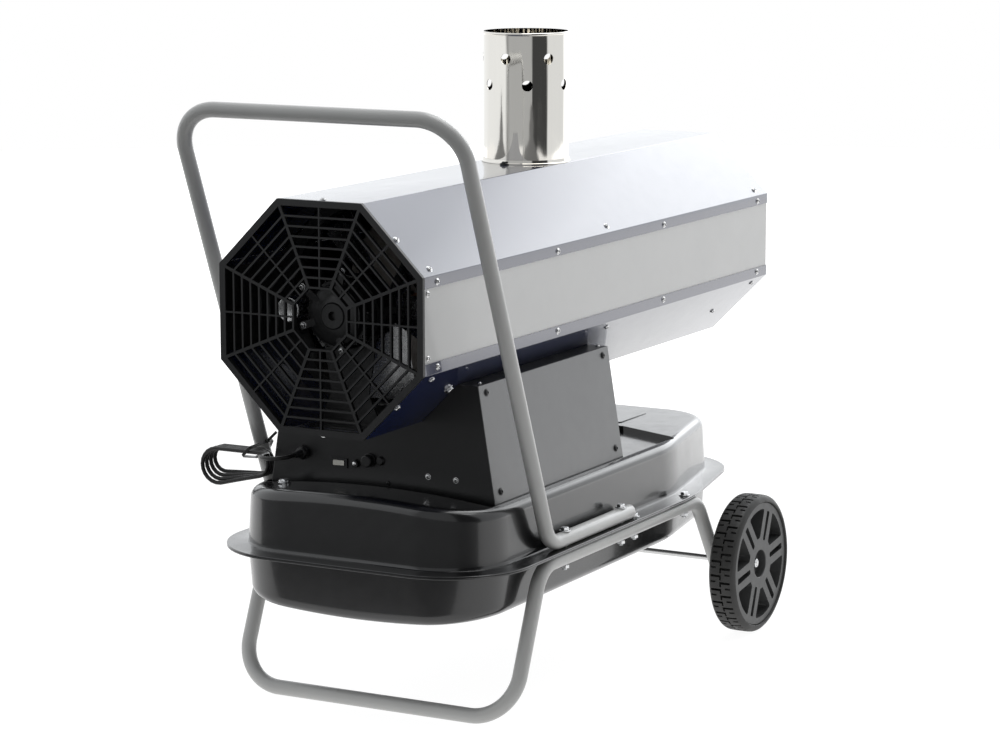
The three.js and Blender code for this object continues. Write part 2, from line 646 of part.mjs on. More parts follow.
// Burner: an air tube with a vaned throat, and the nozzle holder down its middle
function burnerHead() {
  const start = exchanger.start - chamber.flangeSheet - gap;
  const back = start - burner.plateSheet;
  const tubeEnd = start + burner.tubeLength;
  const inner = burner.tubeRadius - burner.tubeWall;
  const plate = turnedX([
    [burner.boreRadius, back], [chamber.flange, back], [chamber.flange, start], [burner.tubeRadius, start],
    [burner.tubeRadius, tubeEnd], [burner.coneRadius, tubeEnd + burner.plateSheet],
    [burner.coneRadius, tubeEnd], [inner, tubeEnd - burner.tubeWall], [inner, start],
    [burner.boreRadius, start],
  ], 16);
  const slots = [];
  for (let k = 0; k < burner.vanes; k++) {
    const slot = block(back - overrun, start + overrun, -burner.vaneWidth / 2, burner.vaneWidth / 2,
      burner.boreRadius + burner.vaneWidth, burner.boreRadius + burner.vaneLength);
    slots.push(slot.rotateX(2 * Math.PI * k / burner.vanes));
  }
  const nozzleBack = back - burner.nozzleRadius;
  const nozzleEnd = nozzleBack + burner.nozzleLength;
  const nozzle = turnedX([
    [0, nozzleBack], [burner.boreRadius, nozzleBack], [burner.boreRadius + burner.nozzleTip, back],
    [burner.boreRadius + burner.nozzleTip, start], [burner.nozzleRadius, start + burner.nozzleRadius],
    [burner.nozzleRadius, nozzleEnd - burner.nozzleRadius], [burner.nozzleTip, nozzleEnd], [0, nozzleEnd],
  ], 12);
  return join(cut(plate, ...slots), nozzle).translate(0, 0, axisZ);
}

function combustionChamber() {
  const start = exchanger.start - chamber.flangeSheet;
  const inner = chamber.radius - chamber.wall;
  const shell = turnedX([
    [inner, start], [chamber.flange, start], [chamber.flange, start + chamber.flangeSheet - gap],
    [chamber.radius, start + chamber.flangeSheet - gap], [chamber.radius, chamber.end],
    [0, chamber.end + chamber.wall], [0, chamber.end], [inner, chamber.end - chamber.wall],
  ], 24);
  const windows = [];
  for (let k = 0; k < chamber.windows; k++) {
    const from = chamber.end - chamber.windowInset - chamber.windowLength;
    const window = block(from, from + chamber.windowLength, -chamber.windowWidth / 2, chamber.windowWidth / 2,
      chamber.radius / 2, chamber.radius + overrun);
    windows.push(window.rotateX(Math.PI / 4 + 2 * Math.PI * k / chamber.windows));
  }
  return cut(shell, ...windows).translate(0, 0, axisZ);
}

function heatExchanger() {
  const { start, end, radius, wall, endDish } = exchanger;
  const inner = radius - wall;
  const mouth = chamber.radius + gap;
  const drum = turnedX([
    [mouth, start], [radius, start], [radius, end], [radius / 2, end + endDish],
    [0, end + endDish + wall], [0, end + endDish - wall], [radius / 2, end + endDish - 2 * wall],
    [inner, end - wall], [inner, start + wall], [mouth, start + wall],
  ], 24);
  const stubRadius = flue.radius - flue.wall - gap;
  const rise = apothem + flue.stubRise;
  const stub = rodZ(stubRadius, inner / 2, rise, flue.x, 0, 32);
  const bore = rodZ(stubRadius - flue.stubWall, inner / 4, rise + overrun, flue.x, 0, 32);
  const core = rodX(inner, start + wall, end - wall, 0, 0, 24);
  return cut(join(drum, geometryOf(solidOf(stub).subtract(solidOf(core)))), bore).translate(0, 0, axisZ);
}

// Cradle: two folded saddles on a strip, carrying the heat exchanger on the casing's floor
function exchangerCradle() {
  const floor = axisZ - apothem + casing.sheet + gap;
  const seat = axisZ - exchanger.radius * saddle.reachShare;
  const web = shapeOf([[-saddle.halfWidth, floor], [saddle.halfWidth, floor],
    [saddle.halfWidth + saddle.foot, seat], [-saddle.halfWidth - saddle.foot, seat]]);
  const [rear, front] = [exchanger.start + saddle.inset, exchanger.end - saddle.inset];
  const plates = [rear, front].map((x) => alongX(web, x, x + saddle.thickness));
  const feet = [rear, front - saddle.foot].map((x) => block(x, x + saddle.foot + saddle.thickness,
    -saddle.halfWidth, saddle.halfWidth, floor, floor + saddle.thickness));
  const strip = block(rear, front, -saddle.foot, saddle.foot, floor, floor + saddle.thickness);
  const room = rodX(exchanger.radius + gap, rear - overrun, front + saddle.foot, 0, axisZ, 24);
  return cut(join(...plates, ...feet, strip), room);
}

// Fuel tank
const cornerSteps = [5, 1, 4, 4, 1, 5];
const edgeShares = [1 / 3, 2 / 3, 1];

function tankOutline(offset) {
  const { rearRadius, bendRadius, frontRadius } = tank;
  const frontHalf = tank.halfWidth - tank.taperSlope * (tank.front - tank.taperStart);
  const corners = [[tank.rear, -tank.halfWidth], [tank.taperStart, -tank.halfWidth], [tank.front, -frontHalf],
    [tank.front, frontHalf], [tank.taperStart, tank.halfWidth], [tank.rear, tank.halfWidth]];
  const radii = [rearRadius, bendRadius, frontRadius, frontRadius, bendRadius, rearRadius];
  return roundedOutline(offsetCorners(corners, offset), radii.map((r) => r + offset), cornerSteps);
}

function tankRing(offset, z) {
  return tankOutline(offset).map(([x, y]) => new THREE.Vector3(x, y, z));
}

// Drawn shell from the seam to a flat end, with draft on its wall and a rounded edge
function tankBody(seamZ, endZ, inset) {
  const up = Math.sign(endZ - seamZ);
  const radius = tank.edgeRadius;
  const end = endZ - up * inset;
  const lean = tank.draft + inset;
  const rings = [tankRing(-inset, seamZ), tankRing(-lean, end - up * radius)];
  for (const share of inset > 0 ? edgeShares.slice(-1) : edgeShares) {
    const angle = share * Math.PI / 2;
    rings.push(tankRing(-lean - radius * (1 - Math.cos(angle)), end - up * radius * (1 - Math.sin(angle))));
  }
  return loft(up > 0 ? rings : rings.reverse());
}

// The rear rim rises towards its middle
const crownHalf = tank.halfWidth - tank.draft - tank.edgeRadius;

function crownHeight(y) {
  return tank.top + tank.crown * (1 - (y / crownHalf) ** 2);
}

function rearCrown(inset) {
  const foot = tank.top - tank.edgeRadius / 2;
  return crownedSlab(foot, (y) => crownHeight(y) - inset, tank.recessRear + overrun, inset);
}

// The tank's bottom bellies down towards its middle
function bellyDepth(y) {
  return tank.bottom - tank.belly * (1 - (y / crownHalf) ** 2);
}

function belly(inset) {
  return crownedSlab(tank.bottom + tank.edgeRadius / 2, (y) => bellyDepth(y) + inset, tank.front, inset);
}

// Slab inside the tank's outline, flat on one side and curved across on the other
function crownedSlab(flat, curve, end, inset) {
  const arc = [];
  const steps = 10;
  for (let k = 0; k <= steps; k++) {
    const y = crownHalf * (1 - 2 * k / steps);
    arc.push([y, curve(y)]);
  }
  const prism = alongX(shapeOf([[-crownHalf, flat], [crownHalf, flat], ...arc]), tank.rear, end);
  const reach = tank.crown + tank.belly;
  const plan = shapeOf(tankOutline(-tank.draft - tank.edgeRadius / 3 - inset));
  return overlapOf(prism, alongZ(plan, flat - reach, flat + reach));
}

function recessTool(grow) {
  const { recessRear, recessHalf, recessCorner, recessCornerRun, recessRadius } = tank;
  const corners = [[recessRear, -recessHalf], [recessEnd - recessCorner, -recessHalf],
    [recessEnd, -recessHalf + recessCornerRun], [recessEnd, recessHalf - recessCornerRun],
    [recessEnd - recessCorner, recessHalf], [recessRear, recessHalf]];
  const radii = corners.map(() => recessRadius + grow);
  const outline = roundedOutline(offsetCorners(corners, grow), radii, corners.map(() => 2));
  return alongZ(shapeOf(outline), tank.recessFloor - grow, tank.top + 2 * tank.crown);
}

function tankUpper() {
  const seam = tank.seam + gap / 2;
  const { recessFloor, top, wall } = tank;
  const outer = cut(join(tankBody(seam, top, 0), rearCrown(0)), recessTool(0));
  const inner = cut(join(tankBody(seam - overrun, top, wall), rearCrown(wall)), recessTool(wall));
  const flange = alongZ(withHoles(tankOutline(tank.flangeWidth), tankOutline(-wall)), seam, flangeTop);
  const neck = rodZ(filler.neckRadius + gap, recessFloor, top + overrun, fillerX, filler.y, 24);
  const stem = rodZ(gauge.stem + gap, recessFloor, top + overrun, gaugeX, gauge.y, 16);
  const above = top + tank.crown + overrun;
  const intake = rodZ(fitting.stemRadius + gap, recessFloor, above, fitting.x, fitting.y, 12);
  return cut(join(cut(outer, inner), flange), ...flangeHoles(), neck, stem, intake);
}

function tankLower() {
  const seam = tank.seam - gap / 2;
  const { bottom, wall } = tank;
  const outer = join(tankBody(seam, bottom, 0), belly(0));
  const inner = join(tankBody(seam + overrun, bottom, wall), belly(wall));
  const flange = alongZ(withHoles(tankOutline(tank.flangeWidth), tankOutline(-wall)), flangeBottom, seam);
  const low = bellyDepth(drain.y);
  const plugHole = rodZ(drain.stemRadius + gap, low - overrun, low + overrun, drainX, drain.y, 16);
  return cut(join(cut(outer, inner), flange), ...flangeHoles(), plugHole);
}

function boltPlaces() {
  const places = [];
  const spots = [['rail_rear', bolt.railRear, true], ['rail_front', bolt.railFront, true],
    ['flange_rear', bolt.flangeRear, false], ['flange_front', bolt.flangeFront, false]];
  for (const [side, sign] of [['right', -1], ['left', 1]]) {
    for (const [spot, x, throughRail] of spots) {
      places.push({ name: `${side}_${spot}_bolt`, x, y: sign * tube.halfGauge, throughRail });
    }
  }
  return places;
}

function flangeHoles() {
  const [low, high] = [flangeBottom - overrun, flangeTop + overrun];
  return boltPlaces().map(({ x, y }) => rodZ(bolt.hole, low, high, x, y, 8));
}

function fillerNeck() {
  const { neckRadius, neckWall, neckRise, neckDepth, collar, collarSheet } = filler;
  const [foot, seat, top] = [tank.top - neckDepth, tank.top + gap, tank.top + neckRise];
  return turned([
    [neckRadius - neckWall, foot], [neckRadius, foot], [neckRadius, seat], [neckRadius + collar, seat],
    [neckRadius + collar, seat + collarSheet], [neckRadius, seat + collarSheet], [neckRadius, top],
    [neckRadius - neckWall, top],
  ], 20).translate(fillerX, filler.y, 0);
}

// Cap: the plug seals the neck and lifts out, and the gripped cap turns on the plug's spigot
function capPlug() {
  const seat = tank.top + filler.neckRise;
  const plugRadius = filler.neckRadius - filler.neckWall - 2 * gap;
  const lid = filler.capRadius - filler.capSheet - 2 * gap;
  const sheet = filler.capSheet;
  return turned([
    [0, seat - filler.plugHeight], [plugRadius, seat - filler.plugHeight], [plugRadius, seat + gap],
    [lid, seat + gap], [lid, seat + gap + sheet], [filler.spigotRadius, seat + gap + sheet],
    [filler.spigotRadius, seat + gap + filler.spigotLength], [0, seat + gap + filler.spigotLength],
  ], 20).translate(fillerX, filler.y, 0);
}

function fuelCap() {
  const seat = tank.top + filler.neckRise + gap + filler.capSheet;
  const [outer, sheet] = [filler.capRadius, filler.capSheet];
  const inner = outer - sheet;
  const ceiling = seat + gap;
  const roof = seat - filler.capSheet + gap + filler.spigotLength;
  const shell = turned([
    [inner, seat - filler.capSkirt], [outer, seat - filler.capSkirt], [outer, roof - sheet],
    [inner, roof], [filler.plugBore, roof], [filler.plugBore, ceiling], [inner, ceiling],
  ], 24);
  const grips = [];
  for (let k = 0; k < filler.grips; k++) {
    const groove = rodZ(2 * filler.gripDepth, seat - filler.capSkirt - overrun, roof + overrun,
      outer + filler.gripDepth, 0, 8);
    grips.push(groove.rotateZ(2 * Math.PI * k / filler.grips));
  }
  return cut(shell, ...grips).translate(fillerX, filler.y, 0);
}

function fuelGauge() {
  const base = tank.top + gap;
  const { radius, height, bezel, recess, stem, stemLength } = gauge;
  return turned([
    [0, base - stemLength], [stem, base - stemLength], [stem, base], [radius, base],
    [radius, base + height - bezel], [radius - bezel, base + height],
    [radius - 2 * bezel, base + height - recess], [0, base + height - recess],
  ], 20).translate(gaugeX, gauge.y, 0);
}

function drainPlug() {
  const base = bellyDepth(drain.y) - gap;
  const head = rodZ(drain.radius, base - drain.height, base, 0, 0, 6);
  const stem = rodZ(drain.stemRadius, base - drain.height / 2, base + drain.stemLength, 0, 0, 16);
  return join(head, stem).translate(drainX, drain.y, 0);
}

function tankFitting() {
  const base = crownHeight(fitting.y - fitting.radius) + gap;
  return join(
    rodZ(fitting.radius, base, base + fitting.height, 0, 0, 20),
    rodZ(fitting.hexRadius, base + fitting.height / 2, base + fitting.height + fitting.hexHeight, 0, 0, 6),
    rodZ(fitting.stemRadius, base - fitting.stemLength, base + fitting.height, 0, 0, 10))
    .translate(fitting.x, fitting.y, 0);
}

// Trolley: one bent tube for the foot, rails and wheel legs, and one for the handle
const lowRailZ = flangeBottom - gap - tubeRadius;
const highRailZ = flangeTop + gap + tubeRadius;

function mirroredCorners(half) {
  return [...half, ...half.map(([x, y, z]) => [x, -y, z]).reverse()];
}

function railHole({ x, y }, z) {
  return rodZ(bolt.hole, z - tube.diameter, z + tube.diameter, x, y, 8);
}

function lowerFrame() {
  const side = -tube.halfGauge;
  const kneeX = trolley.footX + trolley.footLeanShare * (lowRailZ - tubeRadius);
  const drop = lowRailZ - wheel.radius;
  const run = trolley.hipLeanShare * drop;
  const past = trolley.legOverhang / Math.hypot(run, drop);
  const half = [
    [wheel.x + run * past, side, wheel.radius - drop * past],
    [wheel.x - run, side, lowRailZ],
    [kneeX, side, lowRailZ],
    [trolley.footX, side, tubeRadius],
  ];
  const radii = [trolley.hipRadius, trolley.kneeRadius, trolley.footRadius];
  const path = bentPath(mirroredCorners(half), [...radii, ...[...radii].reverse()], tube.stepAngle);
  const bent = sweep(roundShape(tubeRadius, tube.sides), path);
  const holes = boltPlaces().map((place) => railHole(place, lowRailZ));
  const reach = tube.halfGauge + tube.diameter;
  const bore = rodY(axle.hole, -reach, reach, wheel.x, wheel.radius, 12);
  return cut(bent, ...holes, bore);
}

function handleTube() {
  const legX = handle.barX + handle.leanShare * (handle.barHeight - highRailZ);
  const half = [
    [handle.railEnd, -tube.halfGauge, highRailZ],
    [legX, -tube.halfGauge, highRailZ],
    [handle.barX, -tube.halfGauge, handle.barHeight],
  ];
  const radii = [handle.footRadius, handle.topRadius];
  const path = bentPath(mirroredCorners(half), [...radii, ...[...radii].reverse()], tube.stepAngle);
  const bent = sweep(roundShape(tubeRadius, tube.sides), path);
  const places = boltPlaces().filter(({ throughRail }) => throughRail);
  return cut(bent, ...places.map((place) => railHole(place, highRailZ)));
}

function frameBolt(throughRail) {
  const top = throughRail ? highRailZ + tubeRadius + gap : flangeTop + gap;
  const bottom = lowRailZ - tubeRadius - gap;
  const { radius, head, headHeight, washer, washerHeight, tail } = bolt;
  return join(
    rodZ(washer, top, top + washerHeight, 0, 0, 8),
    rodZ(head, top + washerHeight / 2, top + washerHeight + headHeight, 0, 0, 6),
    rodZ(radius, bottom - headHeight - tail, top + washerHeight, 0, 0, 6),
    rodZ(head, bottom - headHeight, bottom, 0, 0, 6));
}

// Wheels are built about +Z, which then points outwards along the axle on side `sign`
function onAxle(geometry, sign) {
  return geometry.rotateX(-sign * Math.PI / 2).translate(wheel.x, 0, wheel.radius);
}

function wheelTyre(sign) {
  const { radius, width, rimRadius, shoulder, shoulderDrop, treadDepth, grooves, grooveWidth } = wheel;
  const outer = wheel.outerFace;
  const inner = outer - width;
  const ring = turned([
    [rimRadius, inner], [radius - shoulder, inner], [radius, inner + shoulderDrop],
    [radius, outer - shoulderDrop], [radius - shoulder, outer], [rimRadius, outer],
  ], 36);
  const tools = [];
  for (let k = 0; k < grooves; k++) {
    for (const row of [0, 1]) {
      const from = row ? inner + width / 2 + gap : inner - overrun;
      const to = row ? outer + overrun : inner + width / 2 - gap;
      const tool = block(radius - treadDepth, radius + overrun, -grooveWidth / 2, grooveWidth / 2, from, to);
      tools.push(tool.rotateZ(2 * Math.PI * (k + row / 2) / grooves));
    }
  }
  return onAxle(cut(ring, ...tools), sign);
}

function polar(radius, angle) {
  return [radius * Math.cos(angle), radius * Math.sin(angle)];
}

// Six double spokes, each split by a slot, with six openings between them
function wheelHub(sign) {
  const { innerRadius, outerRadius, spokes, spokeSlot, spokeWidth, hubRadius, recessRadius } = wheel;
  const holes = [];
  for (let k = 0; k < spokes; k++) {
    const middle = 2 * Math.PI * (k + 0.5) / spokes;
    const spread = (r) => Math.PI / spokes - Math.asin(spokeWidth / 2 / r);
    const far = openingShares.map((share) => polar(outerRadius, middle - share * spread(outerRadius)));
    const near = [-1, 1].map((share) => polar(innerRadius, middle - share * spread(innerRadius)));
    holes.push([...far, ...near]);
    const slot = new THREE.Vector2();
    const ends = [[innerRadius, -1], [outerRadius, -1], [outerRadius, 1], [innerRadius, 1]];
    holes.push(ends.map(([r, side]) => {
      slot.set(r, side * spokeSlot / 2).rotateAround(new THREE.Vector2(), 2 * Math.PI * k / spokes);
      return [slot.x, slot.y];
    }));
  }
  const outer = wheel.outerFace - wheel.discInset;
  const bossEnd = tube.halfGauge + tubeRadius + wheel.sidePlay;
  const rim = circlePoints(wheel.rimRadius - gap, 36);
  const disc = alongZ(withHoles(rim, ...holes), outer - wheel.discWidth, outer);
  const boss = rodZ(hubRadius, bossEnd, outer, 0, 0, 24);
  const bore = rodZ(wheel.bore, bossEnd - overrun, outer + overrun, 0, 0, 12);
  const recess = rodZ(recessRadius, outer - wheel.recessDepth, outer + overrun, 0, 0, 16);
  return onAxle(cut(join(disc, boss), bore, recess), sign);
}

const hubFace = wheel.outerFace - wheel.discInset;

function wheelAxle() {
  const end = hubFace - axle.recessSetback;
  return rodY(axle.radius, -end, end, wheel.x, wheel.radius, 12);
}

function axleEndCap(sign) {
  const inner = axle.radius + gap;
  const base = hubFace - wheel.recessDepth + gap;
  return onAxle(turned([
    [inner, base], [axleCap.radius, base], [axleCap.radius, base + axleCap.wall],
    [axleCap.radius - axleCap.wall, base + axleCap.length], [inner, base + axleCap.length],
  ], 16), sign);
}

// Plinth: end walls that cradle the casing, joined by shelves, base flanges and the strips behind the covers
const coverLean = (plinth.skirtHalf - plinth.shoulderHalf) / (shoulderZ - plinth.skirt);
const coverStretch = Math.hypot(1, coverLean);

function slantHalf(z, inset) {
  return plinth.skirtHalf - coverLean * (z - plinth.skirt) - inset * coverStretch;
}

function slantStrip(sign, inset, sheet, low, high) {
  const line2d = [[slantHalf(low, inset), low], [slantHalf(high, inset), high]];
  const placed = line2d.map(([y, z]) => [sign * y, z]);
  return foldedSheet(sign > 0 ? placed : placed.reverse(), sheet);
}

function plinthBody() {
  const { rear, front, sheet, flange, coverSheet } = plinth;
  const shoulder = shoulderZ;
  const base = tank.recessFloor + gap;
  const inset = coverSheet + gap;
  const nearCasing = apothem + gap;
  const keel = nearCasing * Math.tan(eighth);
  const keelZ = axisZ - nearCasing;
  const meet = keel + shoulder - keelZ;
  const wall = shapeOf([[-slantHalf(base, inset), base], [slantHalf(base, inset), base],
    [slantHalf(shoulder, inset), shoulder], [meet, shoulder], [keel, keelZ], [-keel, keelZ],
    [-meet, shoulder], [-slantHalf(shoulder, inset), shoulder]]);
  const parts = [alongX(wall, rear, rear + sheet), alongX(wall, front - sheet, front)];
  for (const sign of [1, -1]) {
    const shelf = [[meet, shoulder], [slantHalf(shoulder, inset), shoulder],
      [slantHalf(shoulder, inset), shoulder - sheet], [meet, shoulder - sheet]];
    parts.push(alongX(shapeOf(shelf.map(([y, z]) => [sign * y, z])), rear, front));
    const foot = slantHalf(base, inset);
    const [footLow, footHigh] = [sign * foot, sign * (foot - flange)].sort((a, b) => a - b);
    parts.push(block(rear, front, footLow, footHigh, base, base + sheet));
    const strip = slantStrip(sign, inset, sheet, base, shoulder);
    parts.push(alongX(strip, rear, rear + flange), alongX(strip, front - flange, front));
  }
  for (const x of [rear, front - flange]) {
    parts.push(block(x, x + flange, -keel + flange, keel - flange, keelZ - sheet, keelZ));
  }
  return cut(join(...parts), ...controlHoles());
}

function controlHoles() {
  const outside = plinth.rear - overrun;
  const inside = plinth.rear + overrun;
  const rockerHalf = rocker.bodyWidth / 2 + gap;
  const rockerRise = rocker.bodyHeight / 2 + gap;
  return [
    rodX(gland.threadRadius + gap, outside, inside, gland.y, gland.z, 20),
    rodX(reset.radius + gap, outside, inside, reset.y, reset.z, 16),
    rodX(socketCap.stemRadius + gap, outside, inside, socketCap.y, socketCap.z, 16),
    block(outside, inside, -rockerHalf, rockerHalf, -rockerRise, rockerRise).translate(0, rocker.y, rocker.z),
  ];
}

function serviceCover(sign) {
  const low = tank.recessFloor + 2 * gap;
  const strip = slantStrip(sign, 0, plinth.coverSheet, low, shoulderZ);
  return alongX(strip, plinth.rear, plinth.front);
}

// Controls are built about +Z, which then points out of the plinth's rear wall
function onRearWall(geometry, { y, z }) {
  return geometry.rotateY(-Math.PI / 2).translate(plinth.rear, y, z);
}

function glandTip() {
  return gap + gland.hexLength + gland.domeLength + gland.noseLength;
}

function cableGland() {
  const hexTop = gap + gland.hexLength;
  const domeTop = hexTop + gland.domeLength;
  const stem = turned([
    [0, -gland.nutLength], [gland.threadRadius, -gland.nutLength], [gland.threadRadius, hexTop],
    [gland.domeRadius, hexTop], [gland.noseRadius, domeTop], [gland.tipRadius, glandTip()], [0, glandTip()],
  ], 20);
  const hex = rodZ(gland.hexRadius, gap, hexTop, 0, 0, 6);
  const nut = rodZ(gland.hexRadius, -gland.nutLength, -plinth.sheet - gap, 0, 0, 6);
  return onRearWall(join(stem, hex, nut), gland);
}

function rockerFrame() {
  const { width, height, bodyWidth, bodyHeight, bodyDepth, bezel, bezelDepth, wall } = rocker;
  const front = gap + bezelDepth;
  const upright = (halfHeight, halfWidth, from, to) => (
    block(-halfHeight, halfHeight, -halfWidth, halfWidth, from, to));
  const flange = upright(height / 2, width / 2, gap, front);
  const body = upright(bodyHeight / 2, bodyWidth / 2, -bodyDepth, front - bezel / 2);
  const room = upright(bodyHeight / 2 - wall, bodyWidth / 2 - wall, wall - bodyDepth, front + overrun);
  return onRearWall(cut(join(flange, body), room), rocker);
}

// The key rocks about an axis along its short side
function rockerKey() {
  const long = rocker.bodyWidth / 2 - rocker.wall - rocker.keyPlay;
  const half = rocker.bodyHeight / 2 - rocker.wall - 2 * gap;
  const front = gap + rocker.bezelDepth;
  const lip = front - rocker.bezel / 2;
  const outline = shapeOf([[-long, lip], [-long, front], [-long / 2, front + rocker.bezel / 4],
    [long, front + rocker.tiltRise], [long, lip], [0, front - rocker.keyDepth - rocker.bezel]]);
  const key = alongX(outline, -half, half);
  return onRearWall(key, rocker);
}

function resetButton() {
  const { radius, headRadius, headDepth, stemDepth, proud } = reset;
  return onRearWall(turned([
    [0, -stemDepth], [radius, -stemDepth], [radius, proud], [headRadius, proud],
    [headRadius, proud + headDepth / 2], [headRadius - headDepth / 2, proud + headDepth],
    [0, proud + headDepth],
  ], 16), reset);
}

function thermostatSocketCap() {
  const { radius, depth, skirtRadius, skirtDepth, stemRadius, stemDepth, grips, gripRadius } = socketCap;
  const cap = turned([
    [0, -stemDepth], [stemRadius, -stemDepth], [stemRadius, gap], [skirtRadius, gap],
    [skirtRadius, gap + skirtDepth], [radius, gap + skirtDepth], [radius, gap + depth - gripRadius],
    [radius - gripRadius, gap + depth], [0, gap + depth],
  ], 20);
  const tools = [];
  for (let k = 0; k < grips; k++) {
    const [from, to] = [gap + skirtDepth + gripRadius, gap + depth + overrun];
    const tool = rodZ(gripRadius, from, to, radius + gripRadius / 2, 0, 8);
    tools.push(tool.rotateZ(2 * Math.PI * k / grips));
  }
  return onRearWall(cut(cap, ...tools), socketCap);
}

// Fuel pump and ignition transformer on the tank's pocket floor
function pumpTop() {
  return tank.recessFloor + gap + pump.pedestal + pump.blockHeight + pump.coilHeight + pump.portHeight;
}

function fuelPump() {
  const base = tank.recessFloor + gap;
  const blockBase = base + pump.pedestal;
  const blockTop = blockBase + pump.blockHeight;
  const half = pump.block / 2;
  const coilTop = blockTop + pump.coilHeight;
  return join(
    block(-pump.pedestalHalf, pump.pedestalHalf, -half, half, base, blockBase + pump.portHeight),
    block(-half, half, -half, half, blockBase, blockTop),
    rodZ(pump.coilRadius, blockTop - pump.portHeight, coilTop, 0, 0, 24),
    rodZ(pump.portRadius, coilTop - pump.portHeight, pumpTop(), 0, 0, 6),
    rodX(pump.portRadius, -half - pump.portHeight, half, 0, blockBase + pump.blockHeight / 2, 6))
    .translate(pump.x, pump.y, 0);
}

function ignitionTransformer() {
  const { length, width, height, footReach, footSheet, towerRadius, towerHeight, towerPitch } = transformer;
  const base = tank.recessFloor + gap;
  const [low, tip] = [base + height / 2, base + height + towerHeight];
  return join(
    block(-length / 2, length / 2, -width / 2, width / 2, base, base + height),
    block(-length / 2 - footReach, length / 2 + footReach, -width / 2, width / 2, base, base + footSheet),
    rodZ(towerRadius, low, tip, -towerPitch / 2, 0, 16, towerRadius / 2),
    rodZ(towerRadius, low, tip, towerPitch / 2, 0, 16, towerRadius / 2))
    .translate(transformer.x, transformer.y, 0);
}

function deliveryPipe() {
  const nozzleBack = exchanger.start - chamber.flangeSheet - gap - burner.plateSheet - burner.nozzleRadius;
  const corners = [[pump.x, pump.y, pumpTop() + gap], [pump.x, pump.y, axisZ + pump.y], [pump.x, 0, axisZ],
    [nozzleBack - gap, 0, axisZ]];
  const path = bentPath(corners, [pipe.bend, pipe.bend], pipe.stepAngle);
  return sweep(roundShape(pipe.radius, pipe.sides), path);
}

// Power lead
function leadSection(sides) {
  return roundShape(lead.diameter / 2 / Math.cos(Math.PI / sides), sides);
}

// A belt round two circles, started on top of the right-hand one; each whole `turn` goes round once
function hankPoint(turn) {
  const left = hank.leftRadius - hank.leftShrink * turn;
  const right = hank.rightRadius;
  const leftY = hank.leftY;
  const leftZ = hank.leftZ + hank.leftShrink * turn;
  const span = Math.hypot(leftY - hank.rightY, hank.rightZ - leftZ);
  const tip = Math.asin((left - right) / span);
  const tilt = Math.atan2(leftZ - hank.rightZ, leftY - hank.rightY);
  const straight = span * Math.cos(tip);
  const [leftArc, rightArc] = [left * (Math.PI + 2 * tip), right * (Math.PI - 2 * tip)];
  let travelled = (turn % 1) * (2 * straight + leftArc + rightArc);
  const start = tilt + tip + Math.PI / 2;
  const onCircle = (y, z, radius, angle) => [y + radius * Math.cos(angle), z + radius * Math.sin(angle)];
  const x = hank.x + hank.layerPitch * turn;
  const between = (a, b, share) => [x, a[0] + share * (b[0] - a[0]), a[1] + share * (b[1] - a[1])];
  const onRight = (angle) => onCircle(hank.rightY, hank.rightZ, right, angle);
  const onLeft = (angle) => onCircle(leftY, leftZ, left, angle);
  if (travelled <= straight) return between(onRight(start), onLeft(start), travelled / straight);
  travelled -= straight;
  if (travelled <= leftArc) return [x, ...onLeft(start - travelled / left)];
  travelled -= leftArc;
  const low = tilt - tip - Math.PI / 2;
  if (travelled <= straight) return between(onLeft(low), onRight(low), travelled / straight);
  travelled -= straight;
  return [x, ...onRight(low - travelled / right)];
}

function hankPath() {
  const count = Math.round(hank.turns * hank.perTurn);
  const points = [];
  for (let i = 0; i <= count; i++) points.push(new THREE.Vector3(...hankPoint(hank.turns * i / count)));
  const first = points[1].clone().sub(points[0]).normalize();
  const last = points.at(-1).clone().sub(points.at(-2)).normalize();
  points.unshift(points[0].clone().addScaledVector(first, -lead.diameter));
  points.push(points.at(-1).clone().addScaledVector(last, lead.diameter));
  const tangents = points.map((p, i) => {
    if (i < 2) return first;
    if (i > points.length - 3) return last;
    return points[i + 1].clone().sub(points[i - 1]).normalize();
  });
  return new StationPath(points, tangents);
}

const hankRoute = hankPath();

// Least distance between parts of the hank's centre line that are over a third of a turn apart
function hankSelfGap() {
  const fine = [];
  for (let i = 0; i + 1 < hankRoute.points.length; i++) {
    for (let k = 0; k < 4; k++) fine.push(hankRoute.points[i].clone().lerp(hankRoute.points[i + 1], k / 4));
  }
  let least = Infinity;
  for (let i = 0; i < fine.length; i++) {
    for (let j = i + Math.round(hank.perTurn * 4 / 3); j < fine.length; j++) {
      least = Math.min(least, fine[i].distanceTo(fine[j]));
    }
  }
  return least - lead.diameter / Math.cos(Math.PI / lead.hankSides);
}

function cordHank() {
  return sweep(leadSection(lead.hankSides), hankRoute);
}

// Free stretches leave each end face square, a short straight way first
function stretch(from, fromDirection, via, to, toDirection) {
  const start = from.clone().addScaledVector(fromDirection, gap);
  const end = to.clone().addScaledVector(toDirection, -gap);
  const straight = lead.diameter / 2;
  const curve = new THREE.CatmullRomCurve3([
    start, start.clone().addScaledVector(fromDirection, straight), ...via.map((p) => new THREE.Vector3(...p)),
    end.clone().addScaledVector(toDirection, -straight), end,
  ], false, 'centripetal');
  const count = Math.round(curve.getLength() / lead.step);
  const points = curve.getSpacedPoints(count);
  const tangents = points.map((p, i) => curve.getTangentAt(i / count));
  tangents[0] = fromDirection.clone();
  tangents[count] = toDirection.clone();
  return sweep(leadSection(lead.sides), new StationPath(points, tangents));
}

function powerCord() {
  const tip = new THREE.Vector3(plinth.rear - glandTip(), gland.y, gland.z);
  return stretch(tip, new THREE.Vector3(-1, 0, 0), leadVia, hankRoute.points[0], hankRoute.tangents[0]);
}

